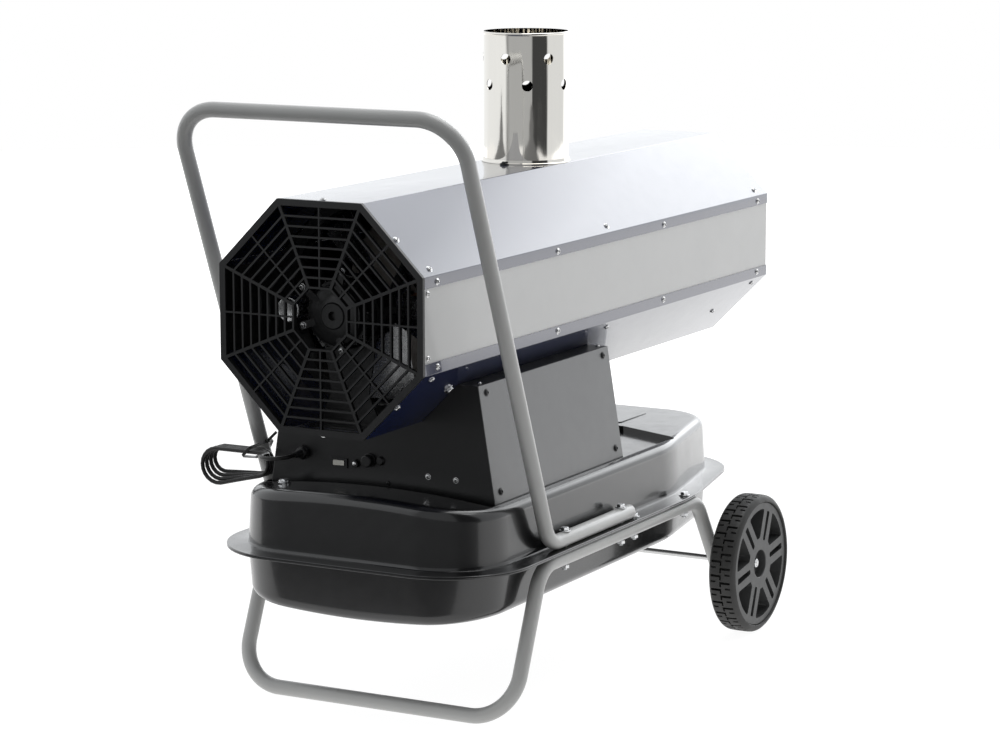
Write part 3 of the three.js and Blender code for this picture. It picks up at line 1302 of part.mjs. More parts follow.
function powerCordTail() {
  const from = hankRoute.points.at(-1);
  const plugEnd = new THREE.Vector3(plug.x, plug.y, plugHeight());
  return stretch(from, hankRoute.tangents.at(-1), tailVia, plugEnd, new THREE.Vector3(1, 0, 0));
}

// Strap round the hank's top strands and the handle leg, in a plane tilted across both
function cordStrap() {
  const { rearX, frontX, up, down, sheet, width, tailX, tailLength } = strap;
  const corners = [[rearX, -down], [frontX, -down], [frontX, up], [rearX, up]];
  const radii = corners.map(() => strap.corner);
  const steps = corners.map(() => 4);
  const outer = roundedOutline(offsetCorners(corners, sheet), radii.map((r) => r + sheet), steps);
  const band = alongZ(withHoles(outer, roundedOutline(corners, radii, steps)), -width / 2, width / 2);
  const tail = block(tailX - sheet, tailX + sheet, up + sheet / 2, up + tailLength, -width / 2, width / 2);
  return join(band, tail).rotateX(strap.tilt).translate(0, strap.y, strap.z);
}

function plugHeight() {
  return tank.top + gap + plug.radius;
}

function leadPlug() {
  const { x, y, radius, length, neckRadius, rootRadius, neckLength, chamfer } = plug;
  const { pinRadius, pinLength, pinHalfPitch } = plug;
  const back = x + neckLength;
  const face = back + length;
  const body = turnedX([
    [0, x], [neckRadius, x], [rootRadius, back], [radius - chamfer, back], [radius, back + chamfer],
    [radius, face], [0, face],
  ], 20);
  const pins = [1, -1].map((side) => (
    rodX(pinRadius, face - chamfer, face + pinLength, side * pinHalfPitch, 0, 8)));
  return join(body, ...pins).translate(0, y, plugHeight());
}

// Finishes
const finishes = {
  grille_black: [0x17181a, 0.45, 0],
  cover_blue: [0x10183f, 0.14, 0.1],
  panel_cream: [0xc9c8bb, 0.3, 0],
  black_steel: [0x141416, 0.45, 0.1],
  cover_grey: [0x4c4e50, 0.35, 0.3],
  tank_black: [0x1d1e20, 0.3, 0.1],
  tube_silver: [0x9a9c9d, 0.35, 0.5],
  polished_steel: [0xc4c6c8, 0.16, 1],
  galvanised: [0xaeb2b4, 0.4, 0.9],
  burner_steel: [0x8b8782, 0.45, 0.9],
  aluminium: [0xc9cbcd, 0.35, 0.95],
  zinc: [0xb9bcbd, 0.32, 0.95],
  copper_line: [0xb4734a, 0.35, 0.9],
  plastic_black: [0x18191a, 0.4, 0],
  key_ivory: [0xd8d5c4, 0.3, 0],
  wheel_grey: [0x5f6364, 0.5, 0],
  tyre_black: [0x262728, 0.8, 0],
  lead_black: [0x1a1a1b, 0.55, 0],
};

const heater = new THREE.Group();
heater.name = 'indirect_diesel_heater';

function add(name, finish, geometry) {
  const [color, roughness, metalness] = finishes[finish];
  const material = new THREE.MeshStandardMaterial({ name: finish, color, roughness, metalness });
  const mesh = new THREE.Mesh(geometry, material);
  mesh.name = name;
  heater.add(mesh);
}

add('fan_grille', 'grille_black', fanGrille());
add('upper_cover', 'cover_blue', upperCover());
add('lower_cover', 'cover_blue', lowerCover());
add('outlet_panel', 'cover_blue', outletPanel());
add('outlet_ring', 'black_steel', outletRing());
add('flue_collar', 'black_steel', flueCollar());
add('flue_pipe', 'polished_steel', fluePipe());
add('fan_shroud', 'black_steel', fanShroud());
add('fan_motor', 'black_steel', fanMotor());
add('motor_bracket', 'black_steel', motorBracket());
add('motor_capacitor', 'aluminium', motorCapacitor());
add('fan_impeller', 'aluminium', fanImpeller());
add('burner_head', 'burner_steel', burnerHead());
add('combustion_chamber', 'burner_steel', combustionChamber());
add('heat_exchanger', 'burner_steel', heatExchanger());
add('exchanger_cradle', 'galvanised', exchangerCradle());
add('plinth', 'black_steel', plinthBody());
add('cable_gland', 'plastic_black', cableGland());
add('rocker_switch_frame', 'plastic_black', rockerFrame());
add('rocker_switch_key', 'key_ivory', rockerKey());
add('reset_button', 'zinc', resetButton());
add('thermostat_socket_cap', 'plastic_black', thermostatSocketCap());
add('fuel_pump', 'zinc', fuelPump());
add('ignition_transformer', 'plastic_black', ignitionTransformer());
add('delivery_pipe', 'copper_line', deliveryPipe());
add('tank_upper', 'tank_black', tankUpper());
add('tank_lower', 'tank_black', tankLower());
add('filler_neck', 'tank_black', fillerNeck());
add('cap_seal', 'lead_black', capPlug());
add('fuel_cap', 'plastic_black', fuelCap());
add('fuel_gauge', 'plastic_black', fuelGauge());
add('drain_plug', 'zinc', drainPlug());
add('tank_fitting', 'zinc', tankFitting());
add('handle', 'tube_silver', handleTube());
add('lower_frame', 'tube_silver', lowerFrame());
add('axle', 'zinc', wheelAxle());
for (const [side, sign] of [['right', -1], ['left', 1]]) {
  add(`${side}_side_panel`, 'panel_cream', sidePanel(sign));
  add(`${side}_service_cover`, 'cover_grey', serviceCover(sign));
  add(`${side}_wheel_hub`, 'wheel_grey', wheelHub(sign));
  add(`${side}_tyre`, 'tyre_black', wheelTyre(sign));
  add(`${side}_axle_cap`, 'zinc', axleEndCap(sign));
}
for (const { name, x, y, throughRail } of boltPlaces()) {
  add(name, 'zinc', moved(frameBolt(throughRail), x, y, 0));
}
add('power_cord', 'lead_black', powerCord());
add('cord_hank', 'lead_black', cordHank());
add('cord_strap', 'lead_black', cordStrap());
add('power_cord_tail', 'lead_black', powerCordTail());
add('plug', 'lead_black', leadPlug());

// The origin moves to the middle of the heater's length
const rearmost = handle.barX - tubeRadius;
const foremost = casing.end + outlet.reach;
const middleX = (rearmost + foremost) / 2;
for (const mesh of heater.children) mesh.geometry.translate(-middleX, 0, 0);

console.log(`cord_hank least gap to itself ${hankSelfGap().toFixed(2)} mm`);

export default heater;
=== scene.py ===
import json
from math import asin, atan, atan2, copysign, cos, hypot, pi, radians, sin, sqrt, tan
import bpy
import bmesh
from mathutils import Matrix, Vector


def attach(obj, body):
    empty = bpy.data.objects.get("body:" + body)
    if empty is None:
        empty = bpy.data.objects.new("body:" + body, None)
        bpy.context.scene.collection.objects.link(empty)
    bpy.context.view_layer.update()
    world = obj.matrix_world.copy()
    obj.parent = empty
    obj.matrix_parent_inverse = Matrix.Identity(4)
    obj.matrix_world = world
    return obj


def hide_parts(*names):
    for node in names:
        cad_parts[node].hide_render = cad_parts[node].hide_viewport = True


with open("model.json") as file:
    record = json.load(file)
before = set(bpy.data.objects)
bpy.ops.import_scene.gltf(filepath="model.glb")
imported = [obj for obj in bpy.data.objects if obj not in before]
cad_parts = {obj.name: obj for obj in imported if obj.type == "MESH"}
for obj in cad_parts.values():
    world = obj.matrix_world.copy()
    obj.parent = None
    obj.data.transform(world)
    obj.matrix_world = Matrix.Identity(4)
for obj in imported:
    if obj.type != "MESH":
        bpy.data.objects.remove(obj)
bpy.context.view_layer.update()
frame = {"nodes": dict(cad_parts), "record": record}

# Lengths below are in millimetres with X measured from the grille's rear face, as in the CAD
MID_X = 653.1
AXIS_Z = 673.9
APOTHEM = 188.4
HALF_FLAT = APOTHEM * tan(pi / 8)
CASING = (6.3, 1315)
SHEET = 1.2
PLINTH = (187, 650)
SHOULDER_Z = 552
TANK_TOP = 360
RECESS_FLOOR = 350
FLUE_X = 692.4
FLUE_RADIUS = 75
FILLER_AT = (985, 112)
GAUGE_AT = (985, 20)
RAIL_Y = 260.7
TANK_COLUMNS = 24


def at(x, y, z):
    return Vector(((x - MID_X) / 1000, y / 1000, z / 1000))


def show(obj):
    bpy.context.scene.collection.objects.link(obj)


# Camera
camera_data = bpy.data.cameras.new("photo_camera")
camera = bpy.data.objects.new("photo_camera", camera_data)
show(camera)
camera_data.sensor_fit = "HORIZONTAL"
camera_data.sensor_width = 36.0
camera_data.lens = 115.5
camera_data.clip_end = 100.0
azimuth, elevation, roll = radians(-61.41), radians(9.76), radians(-0.08)
back = Vector((sin(azimuth) * cos(elevation), -cos(azimuth) * cos(elevation), sin(elevation)))
level = Vector((0, 0, 1)).cross(back).normalized()
right = cos(roll) * level + sin(roll) * back.cross(level)
up = back.cross(right)
camera.matrix_world = Matrix.Translation(at(-4268.3, -2650.9, 1447.2)) @ Matrix((right, up, back)).transposed().to_4x4()
bpy.context.scene.camera = camera


# Materials
class Nodes:
    """Short calls for a material's node tree."""

    def __init__(self, name):
        self.material = bpy.data.materials.new(name)
        self.material.use_nodes = True
        self.tree = self.material.node_tree
        self.shader = next(n for n in self.tree.nodes if n.type == "BSDF_PRINCIPLED")
        self.where = self.tree.nodes.new("ShaderNodeTexCoord").outputs["Object"]

    def link(self, source, target):
        self.tree.links.new(source, target)

    def stretch(self, scale):
        node = self.tree.nodes.new("ShaderNodeMapping")
        node.inputs["Scale"].default_value = scale
        self.link(self.where, node.inputs["Vector"])
        return node.outputs["Vector"]

    def noise(self, scale, detail=3.0, rough=0.5, vector=None):
        node = self.tree.nodes.new("ShaderNodeTexNoise")
        node.inputs["Scale"].default_value = scale
        node.inputs["Detail"].default_value = detail
        node.inputs["Roughness"].default_value = rough
        self.link(vector or self.where, node.inputs["Vector"])
        return node.outputs["Fac"]

    def sideways(self):
        """Distance from the heater's middle plane, in metres."""
        split = self.tree.nodes.new("ShaderNodeSeparateXYZ")
        self.link(self.where, split.inputs[0])
        size = self.tree.nodes.new("ShaderNodeMath")
        size.operation = "ABSOLUTE"
        self.link(split.outputs["Y"], size.inputs[0])
        return size.outputs[0]

    def ramp(self, value, low, high, in_low=0.3, in_high=0.7):
        node = self.tree.nodes.new("ShaderNodeMapRange")
        for socket, number in zip(("From Min", "From Max", "To Min", "To Max"), (in_low, in_high, low, high)):
            node.inputs[socket].default_value = number
        self.link(value, node.inputs["Value"])
        return node.outputs["Result"]

    def mix(self, factor, first, second):
        node = self.tree.nodes.new("ShaderNodeMix")
        node.data_type = "RGBA"
        self.link(factor, node.inputs["Factor"])
        for socket, colour in ((node.inputs[6], first), (node.inputs[7], second)):
            if isinstance(colour, tuple):
                socket.default_value = (*colour, 1.0)
            else:
                self.link(colour, socket)
        return node.outputs[2]

    def bump(self, height, strength, distance):
        node = self.tree.nodes.new("ShaderNodeBump")
        node.inputs["Strength"].default_value = strength
        node.inputs["Distance"].default_value = distance
        self.link(height, node.inputs["Height"])
        self.link(node.outputs["Normal"], self.shader.inputs["Normal"])

    def put(self, **values):
        for name, value in values.items():
            socket = self.shader.inputs[name.replace("_", " ")]
            if isinstance(value, tuple):
                socket.default_value = (*value, 1.0)
            elif isinstance(value, (int, float)):
                socket.default_value = value
            else:
                self.link(value, socket)


def shades(n, colour, variation, scale):
    """The colour with soft lighter and darker areas."""
    darker = tuple(c * (1 - variation) for c in colour)
    lighter = tuple(min(1.0, c * (1 + variation)) for c in colour)
    return n.mix(n.ramp(n.noise(scale, 4.0, 0.6), 0.0, 1.0), darker, lighter)


def paint(name, colour, rough, coat=0.0, coat_rough=0.04, variation=0.08, peel=0.002, inner_shade=None):
    """Sprayed or powder-coated steel, with orange peel. An inner shade colour paints a side panel's inner face near
    black, as painted shade inside the casing.
    """
    n = Nodes(name)
    base = shades(n, colour, variation, 7.0)
    # Faces nearer the middle plane than the panel's outer skin take the near-black colour: painted shade, not the
    # panel's paint.
    if inner_shade:
        base = n.mix(n.ramp(n.sideways(), 0.0, 1.0, 0.186, 0.1865), inner_shade, base)
    n.put(Base_Color=base, Metallic=0.0, IOR=1.5, Coat_Weight=coat, Coat_IOR=1.5,
          Coat_Roughness=coat_rough, Roughness=n.ramp(n.noise(40.0, 3.0, 0.6), rough * 0.88, rough * 1.14))
    n.bump(n.noise(160.0, 2.0, 0.5), 0.3, peel / 1000)
    return n.material


def metal(name, colour, rough, brushed=None, variation=0.06, scratch=0.05, wave=0.0):
    """Bare metal with a fine grain. A wave height gives thin sheet its uneven reflections."""
    n = Nodes(name)
    grain = n.noise(90.0, 4.0, 0.6, n.stretch(brushed) if brushed else None)
    base = n.mix(n.ramp(grain, 0.0, 1.0), tuple(c * (1 - variation) for c in colour), colour)
    n.put(Base_Color=base, Metallic=1.0, Roughness=n.ramp(grain, rough * 0.75, rough * 1.3))
    if wave:
        n.bump(n.noise(1.0, 1.0, 0.4, n.stretch((26.0, 26.0, 9.0))), 1.0, wave)
    else:
        n.bump(grain, scratch, 0.00003)
    return n.material


def plastic(name, colour, rough, grain_scale=500.0, grain=0.006, variation=0.08):
    n = Nodes(name)
    n.put(Base_Color=shades(n, colour, variation, 16.0), Metallic=0.0,
          Roughness=n.ramp(n.noise(60.0, 3.0, 0.6), rough * 0.88, rough * 1.12))
    n.bump(n.noise(grain_scale, 2.0, 0.5), 0.35, grain / 1000)
    return n.material


M = {
    "grille_black": plastic("grille_plastic", (0.009, 0.009, 0.0095), 0.36),
    "cover_blue": paint("gloss_navy", (0.004, 0.009, 0.045), 0.22, coat=1.0, coat_rough=0.025,
                        variation=0.05, peel=0.0006),
    # Pale panel paint; its near-black inner face is painted shade inside the casing.
    "panel_cream": paint("pale_panel", (0.43, 0.43, 0.425), 0.325, coat=0.3, coat_rough=0.1, variation=0.02,
                         peel=0.0004,
                         inner_shade=(0.012, 0.012, 0.013)),
    "black_steel": paint("satin_black", (0.006, 0.006, 0.0065), 0.34, coat=0.15, coat_rough=0.2),
    "cover_grey": paint("service_grey", (0.085, 0.086, 0.087), 0.32, coat=0.35, coat_rough=0.16, variation=0.04),
    "tank_black": paint("tank_black", (0.0065, 0.0065, 0.007), 0.24, coat=0.6, coat_rough=0.08, peel=0.0005),
    "tube_silver": paint("tube_silver", (0.37, 0.37, 0.362), 0.36, coat=0.25, coat_rough=0.2, variation=0.04,
                         peel=0.0006),
    "polished_steel": metal("polished_steel", (0.8, 0.775, 0.725), 0.035, (1.0, 1.0, 0.03), 0.03, 0.02, wave=0.0007),
    "galvanised": metal("galvanised", (0.62, 0.64, 0.65), 0.32),
    "burner_steel": metal("burner_steel", (0.42, 0.39, 0.36), 0.42),
    "aluminium": metal("aluminium", (0.8, 0.8, 0.8), 0.24),
    "zinc": metal("zinc_plate", (0.72, 0.73, 0.74), 0.2),
    "copper_line": metal("copper_pipe", (0.72, 0.36, 0.2), 0.24),
    "plastic_black": plastic("black_plastic", (0.01, 0.01, 0.0105), 0.36),
    "key_ivory": plastic("ivory_key", (0.86, 0.84, 0.76), 0.25),
    "wheel_grey": plastic("wheel_plastic", (0.044, 0.045, 0.045), 0.4),
    "tyre_black": plastic("tyre_rubber", (0.02, 0.0195, 0.0185), 0.55, 260.0, 0.03, 0.2),
    "lead_black": plastic("lead_rubber", (0.006, 0.0055, 0.005), 0.4, 300.0, 0.01),
    "screw_steel": metal("screw_steel", (0.66, 0.66, 0.66), 0.2),
    # Near-black for the screws' cross recesses: painted shade where a recess falls dark.
    "cross_recess_shade": plastic("cross_recess_shade", (0.008, 0.008, 0.008), 0.6),
}
for item in frame["record"]["subparts"]:
    node = frame["nodes"][item["node"]]
    node.data.materials.clear()
    node.data.materials.append(M[item["material_slot"]])


# Screw heads: bright metal, with near-black bars for the cross recess as painted shade.
CROSS_HEAD = ("screw_steel", "cross_recess_shade")


# Mesh helpers
def clean(bm):
    bmesh.ops.remove_doubles(bm, verts=bm.verts, dist=0.001)
    bmesh.ops.recalc_face_normals(bm, faces=bm.faces)


def new_piece(name, bm, material, body="heater", stands_for=(), smooth=35.0):
    """Turns a bmesh in millimetres into a piece of the scene that rides on a body."""
    clean(bm)
    for v in bm.verts:
        v.co = at(*v.co)
    mesh = mesh_of(bm, name)
    mesh.shade_smooth()
    mesh.set_sharp_from_angle(angle=radians(smooth))
    keys = [material] if isinstance(material, str) else material
    for key in keys:
        mesh.materials.append(M[key])
    obj = bpy.data.objects.new(name, mesh)
    show(obj)
    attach(obj, body)
    if stands_for:
        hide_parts(*stands_for)
    return obj


def bevelled(obj, width, segments=2, angle=35.0):
    modifier = obj.modifiers.new("edges", "BEVEL")
    modifier.width = width / 1000
    modifier.segments = segments
    modifier.limit_method = "ANGLE"
    modifier.angle_limit = radians(angle)
    modifier.harden_normals = True
    return obj


def mesh_of(bm, name="scratch"):
    mesh = bpy.data.meshes.new(name)
    bm.to_mesh(mesh)
    bm.free()
    return mesh


def add_to(whole, part):
    mesh = mesh_of(part)
    whole.from_mesh(mesh)
    bpy.data.meshes.remove(mesh)


def merge(*parts):
    whole = bmesh.new()
    for part in parts:
        add_to(whole, part)
    return whole


def two_tone(body, extras):
    """body with the extra bmeshes added in its second material."""
    before = len(body.faces)
    for extra in extras:
        add_to(body, extra)
    body.faces.ensure_lookup_table()
    for face in body.faces[before:]:
        face.material_index = 1
    return body


def minus(bm, *tools):
    """bm with the other bmeshes cut out of it, through Blender's exact boolean."""
    for shape in (bm, *tools):
        clean(shape)
    base, cutter = (bpy.data.objects.new("scratch", mesh_of(shape)) for shape in (bm, merge(*tools)))
    for obj in (base, cutter):
        show(obj)
    modifier = base.modifiers.new("cut", "BOOLEAN")
    modifier.object = cutter
    modifier.solver = "EXACT"
    modifier.use_self = True
    evaluated = base.evaluated_get(bpy.context.evaluated_depsgraph_get())
    result = bmesh.new()
    result.from_mesh(evaluated.to_mesh())
    evaluated.to_mesh_clear()
    for obj in (base, cutter):
        data = obj.data
        bpy.data.objects.remove(obj)
        bpy.data.meshes.remove(data)
    return result


def moved(bm, matrix=Matrix(), place=(0, 0, 0)):
    bmesh.ops.transform(bm, matrix=Matrix.Translation(place) @ matrix.to_4x4(), verts=bm.verts)
    return bm


def kth(bm, k, count, axis="Z", place=(0, 0, 0)):
    """bm turned by k of count equal steps."""
    return moved(bm, Matrix.Rotation(2 * pi * k / count, 3, axis), place)


def turned_to(bm, place, normal):
    """A bmesh made about +Z, set on a surface at place."""
    return moved(bm, Vector((0, 0, 1)).rotation_difference(Vector(normal)).to_matrix(), place)


def loft(rings, closed=True, caps=True):
    bm = bmesh.new()
    rows = [[bm.verts.new(p) for p in ring] for ring in rings]
    count = len(rows[0])
    for a, b in zip(rows, rows[1:]):
        for i in range(count if closed else count - 1):
            j = (i + 1) % count
            bm.faces.new((a[i], a[j], b[j], b[i]))
    if caps:
        bm.faces.new(rows[0][::-1])
        bm.faces.new(rows[-1])
    return bm


def prism(points, axis, low, high):
    """A polygon swept along X (points are y, z), Y (points are x, z) or Z (points are x, y)."""
    place = {"x": lambda p, d: (d, p[0], p[1]), "y": lambda p, d: (p[0], d, p[1]), "z": lambda p, d: (p[0], p[1], d)}
    return loft([[place[axis](p, d) for p in points] for d in (low, high)])


def box(x0, x1, y0, y1, z0, z1):
    return prism([(x0, y0), (x1, y0), (x1, y1), (x0, y1)], "z", z0, z1)


def lathe(profile, sides=64, axis="z", centre=(0, 0, 0)):
    """A closed profile of (radius, height) turned round an axis through centre."""
    turn = {"z": lambda a, b, h: (a, b, h), "x": lambda a, b, h: (h, a, b), "y": lambda a, b, h: (b, h, a)}[axis]
    bm = bmesh.new()
    rows = []
    for r, h in profile:
        spokes = [0.0] if r < 1e-6 else [2 * pi * k / sides for k in range(sides)]
        rows.append([bm.verts.new(turn(r * cos(a), r * sin(a), h)) for a in spokes])
    for a, b in zip(rows, rows[1:] + rows[:1]):
        for i in range(sides):
            j = (i + 1) % sides
            corners = dict.fromkeys((a[i % len(a)], a[j % len(a)], b[j % len(b)], b[i % len(b)]))
            if len(corners) > 2:
                bm.faces.new(corners)
    return moved(bm, place=centre)


def rod(radius, low, high, axis="z", centre=(0, 0, 0), sides=32):
    return lathe([(0, low), (radius, low), (radius, high), (0, high)], sides, axis, centre)


def circle(radius, sides, turn=0.0, centre=(0, 0)):
    steps = [turn + 2 * pi * k / sides for k in range(sides)]
    return [(centre[0] + radius * cos(a), centre[1] + radius * sin(a)) for a in steps]


def octagon(apothem):
    return circle(apothem / cos(pi / 8), 8, pi / 8, (0, AXIS_Z))


def rounded(corners, radius, steps=5):
    """A polygon with its corners rounded."""
    points = []
    for i, corner in enumerate(corners):
        corner = Vector(corner)
        before = (Vector(corners[i - 1]) - corner).normalized()
        after = (Vector(corners[(i + 1) % len(corners)]) - corner).normalized()
        half = before.angle(after) / 2
        centre = corner + (before + after).normalized() * radius / sin(half)
        spoke = corner + before * radius / tan(half) - centre
        sweep = copysign(pi - 2 * half, before.cross(after))
        points += [centre + Matrix.Rotation(-sweep * k / steps, 2) @ spoke for k in range(steps + 1)]
    return points


def folded(line, thickness, radius, steps=4):
    """Outline of a sheet on the left of a line, with round folds."""
    line = [Vector(p) for p in line]
    outer, inner = [], []
    for i, corner in enumerate(line):
        ways = [(b - a).normalized() for a, b in ((line[i - 1], corner), (corner, line[(i + 1) % len(line)]))]
        lefts = [Vector((-way.y, way.x)) for way in ways]
        if i in (0, len(line) - 1):
            outer.append(corner)
            inner.append(corner + lefts[1 if i == 0 else 0] * thickness)
            continue
        centre = corner + (lefts[0] + lefts[1]) * radius / (1 + lefts[0].dot(lefts[1]))
        for k in range(steps + 1):
            spoke = lefts[0].lerp(lefts[1], k / steps).normalized()
            outer.append(centre - spoke * radius)
            inner.append(centre - spoke * (radius - thickness))
    return outer + inner[::-1]


def frames_along(points):
    """Tangents and a twist-free pair of normals along a path."""
    points = [Vector(p) for p in points]
    ends = [points[0]] + points + [points[-1]]
    tangents = [(b - a).normalized() for a, b in zip(ends, ends[2:])]
    normal = Vector((0, 0, 1)) if abs(tangents[0].z) < 0.9 else Vector((1, 0, 0))
    result = []
    for point, tangent in zip(points, tangents):
        normal = (normal - tangent * normal.dot(tangent)).normalized()
        result.append((point, normal.copy(), tangent.cross(normal)))
    return result


def tube(points, radius, sides=24, radii=None):
    rings = []
    for i, (centre, a, b) in enumerate(frames_along(points)):
        r = radii[i] if radii else radius
        rings.append([centre + r * (cos(2 * pi * k / sides) * a + sin(2 * pi * k / sides) * b)
                      for k in range(sides)])
    return loft(rings)


def bent(corners, radii, step=radians(4)):
    """Corner points joined by straight runs and arcs."""
    corners = [Vector(c) for c in corners]
    points = [corners[0]]
    for i, radius in enumerate(radii, 1):
        into = (corners[i] - corners[i - 1]).normalized()
        out = (corners[i + 1] - corners[i]).normalized()
        bend = into.angle(out)
        axis = into.cross(out).normalized()
        start = corners[i] - into * radius * tan(bend / 2)
        centre = start + axis.cross(into) * radius
        count = max(3, round(bend / step))
        points += [centre + Matrix.Rotation(bend * k / count, 3, axis) @ (start - centre) for k in range(count + 1)]
    return points + [corners[-1]]


def smooth_route(points, step):
    """Centripetal Catmull-Rom curve through the points, at even steps."""
    p = [Vector(q) for q in points]
    p = [2 * p[0] - p[1]] + p + [2 * p[-1] - p[-2]]
    fine = []
    for i in range(1, len(p) - 2):
        knots = [0.0]
        for a, b in zip(p[i - 1:i + 2], p[i:i + 3]):
            knots.append(knots[-1] + (b - a).length ** 0.5)
        t0, t1, t2, t3 = knots
        for k in range(24):
            t = t1 + (t2 - t1) * k / 24
            a1 = p[i - 1].lerp(p[i], (t - t0) / (t1 - t0))
            a2 = p[i].lerp(p[i + 1], (t - t1) / (t2 - t1))
            a3 = p[i + 1].lerp(p[i + 2], (t - t2) / (t3 - t2))
            b1 = a1.lerp(a2, (t - t0) / (t2 - t0))
            b2 = a2.lerp(a3, (t - t1) / (t3 - t1))
            fine.append(b1.lerp(b2, (t - t1) / (t2 - t1)))
    fine.append(p[-2])
    lengths = [0.0]
    for a, b in zip(fine, fine[1:]):
        lengths.append(lengths[-1] + (b - a).length)
    count = max(2, round(lengths[-1] / step))
    result, j = [], 0
    for k in range(count + 1):
        want = lengths[-1] * k / count
        while j < len(lengths) - 2 and lengths[j + 1] < want:
            j += 1
        share = (want - lengths[j]) / max(lengths[j + 1] - lengths[j], 1e-9)
        result.append(fine[j].lerp(fine[j + 1], min(max(share, 0.0), 1.0)))
    return result


# Power lead: out of the gland, wound into a hank strapped to the handle leg, then the plug on the tank's rim
LEAD = 7.0
GLAND_TIP = PLINTH[0] - (0.3 + 8 + 5 + 20)
GLAND_AT = (149, 414)
PLUG_AT = (266.0, 227.0, 375.3)
LEAD_BEND = 27.0
HANK_TURNS = 3.66
HANK_STEPS = 132


def hank_point(turn):
    left, near = 31.5 - 2.6 * turn, 21.0
    left_y, left_z, right_y, right_z = 318.5, 374.5 + 2.6 * turn, 241.0, 385.5
    span = hypot(left_y - right_y, right_z - left_z)
    tip = asin((left - near) / span)
    tilt = atan2(left_z - right_z, left_y - right_y)
    straight = span * cos(tip)
    left_arc, right_arc = left * (pi + 2 * tip), near * (pi - 2 * tip)
    way = (turn % 1) * (2 * straight + left_arc + right_arc)
    start, low = tilt + tip + pi / 2, tilt - tip - pi / 2
    x = 177 + 8.8 * turn

    def on(y, z, radius, angle):
        return Vector((x, y + radius * cos(angle), z + radius * sin(angle)))

    if way <= straight:
        return on(right_y, right_z, near, start).lerp(on(left_y, left_z, left, start), way / straight)
    way -= straight
    if way <= left_arc:
        return on(left_y, left_z, left, start - way / left)
    way -= left_arc
    if way <= straight:
        return on(left_y, left_z, left, low).lerp(on(right_y, right_z, near, low), way / straight)
    return on(right_y, right_z, near, low - (way - straight) / near)


def bend_points(centre, start, end, heights, count):
    """Points round a bend of about four diameters, from one height to the other."""
    points = []
    for k in range(count + 1):
        angle = radians(start + (end - start) * k / count)
        z = heights[0] + (heights[1] - heights[0]) * k / count
        points.append((centre[0] + LEAD_BEND * cos(angle), centre[1] + LEAD_BEND * sin(angle), z))
    return points


def lead_route():
    hank = [hank_point(HANK_TURNS * i / HANK_STEPS) for i in range(HANK_STEPS + 1)]
    first = (hank[1] - hank[0]).normalized()
    last = (hank[-1] - hank[-2]).normalized()
    hank_in, hank_out = hank[0] - first * LEAD, hank[-1] + last * LEAD
    exit_point, plug_end = Vector((GLAND_TIP, *GLAND_AT)), Vector(PLUG_AT)
    short = Vector((LEAD / 2, 0, 0))
    back = bend_points((146.4, 149 + LEAD_BEND), -90, -270, (414, 410), 16)
    across = bend_points((150, 149 + 3 * LEAD_BEND), -90, -9, (409.8, 407.6), 7)
    lead_in = smooth_route([exit_point] + back + across + [hank_in], 4.0)
    lead_out = smooth_route([hank_out, hank_out + last * LEAD / 2, (213, 243.5, 364.5), (222, 232.5, 367),
                             (236, 227.3, 371.5), plug_end - short, plug_end], 4.0)
    return lead_in + hank + lead_out


def grown(outline, by):
    points = []
    for before, here, after in zip(outline[-1:] + outline[:-1], outline, outline[1:] + outline[:1]):
        along = (Vector(after) - Vector(before)).normalized()
        points.append((here[0] + along.y * by, here[1] - along.x * by))
    return points


def strap_band():
    """Tie round the hank's top strands and the handle leg, in a plane tilted across both, with lock and tail."""
    corners = [(172.2, -6.4), (236.5, -26.4), (247, -26.4), (251.4, -14), (251.4, -1), (238.4, 18.8), (226, 18.8),
               (172.2, 15)]
    inner = rounded(corners, 5.5, 6)
    outer = grown(inner, 1.4)
    rows = [[(*p, z) for p in outline] for outline, z in ((outer, -2.6), (outer, 2.6), (inner, 2.6), (inner, -2.6))]
    band = loft(rows + rows[:1], caps=False)
    lock = prism(rounded([(217.5, 18.6), (226.5, 18.6), (226.5, 23.4), (217.5, 23.4)], 1, 3), "z", -3.8, 3.8)
    tail = prism(rounded([(220.6, 22), (222.2, 22), (224.6, 44), (223, 44)], 0.6, 3), "z", -2.4, 2.4)
    return moved(merge(band, lock, tail), Matrix.Rotation(pi * 3 / 4, 3, "X"), (0, 258, 404))


def plug_body():
    """Moulded plug with ribs on its neck and a grip line round its body, and two round pins."""
    x, y, z = PLUG_AT
    profile = [(0, 0), (5.6, 0), (6.4, 1)]
    for k in range(4):
        profile += [(6.7 + 0.5 * k, 3 + 5 * k), (6.2 + 0.5 * k, 3.6 + 5 * k), (6.3 + 0.5 * k, 6 + 5 * k)]
    profile += [(9, 22.5), (11, 24), (13.6, 25.2), (14.8, 27.5), (15, 31), (14.4, 32), (14.4, 34), (15, 35),
                (15, 58.6), (14.2, 60), (0, 60)]
    pin = [(0, 58), (2.4, 58), (2.4, 77.6), (1.5, 79), (0, 79)]
    pins = [lathe(pin, 24, "x", (x, y + side, z)) for side in (9.5, -9.5)]
    body = lathe(profile, 64, "x", (x, y, z))
    return two_tone(body, pins)


route = lead_route()
lead_piece = new_piece("power_lead", tube(route, LEAD / 2, 16), "lead_black",
                       stands_for=("power_cord", "cord_hank", "power_cord_tail"), smooth=60)
strap_piece = bevelled(new_piece("lead_strap", strap_band(), "lead_black", stands_for=("cord_strap",)), 0.5)
plug_piece = new_piece("mains_plug", plug_body(), ("lead_black", "screw_steel"), stands_for=("plug",), smooth=40)


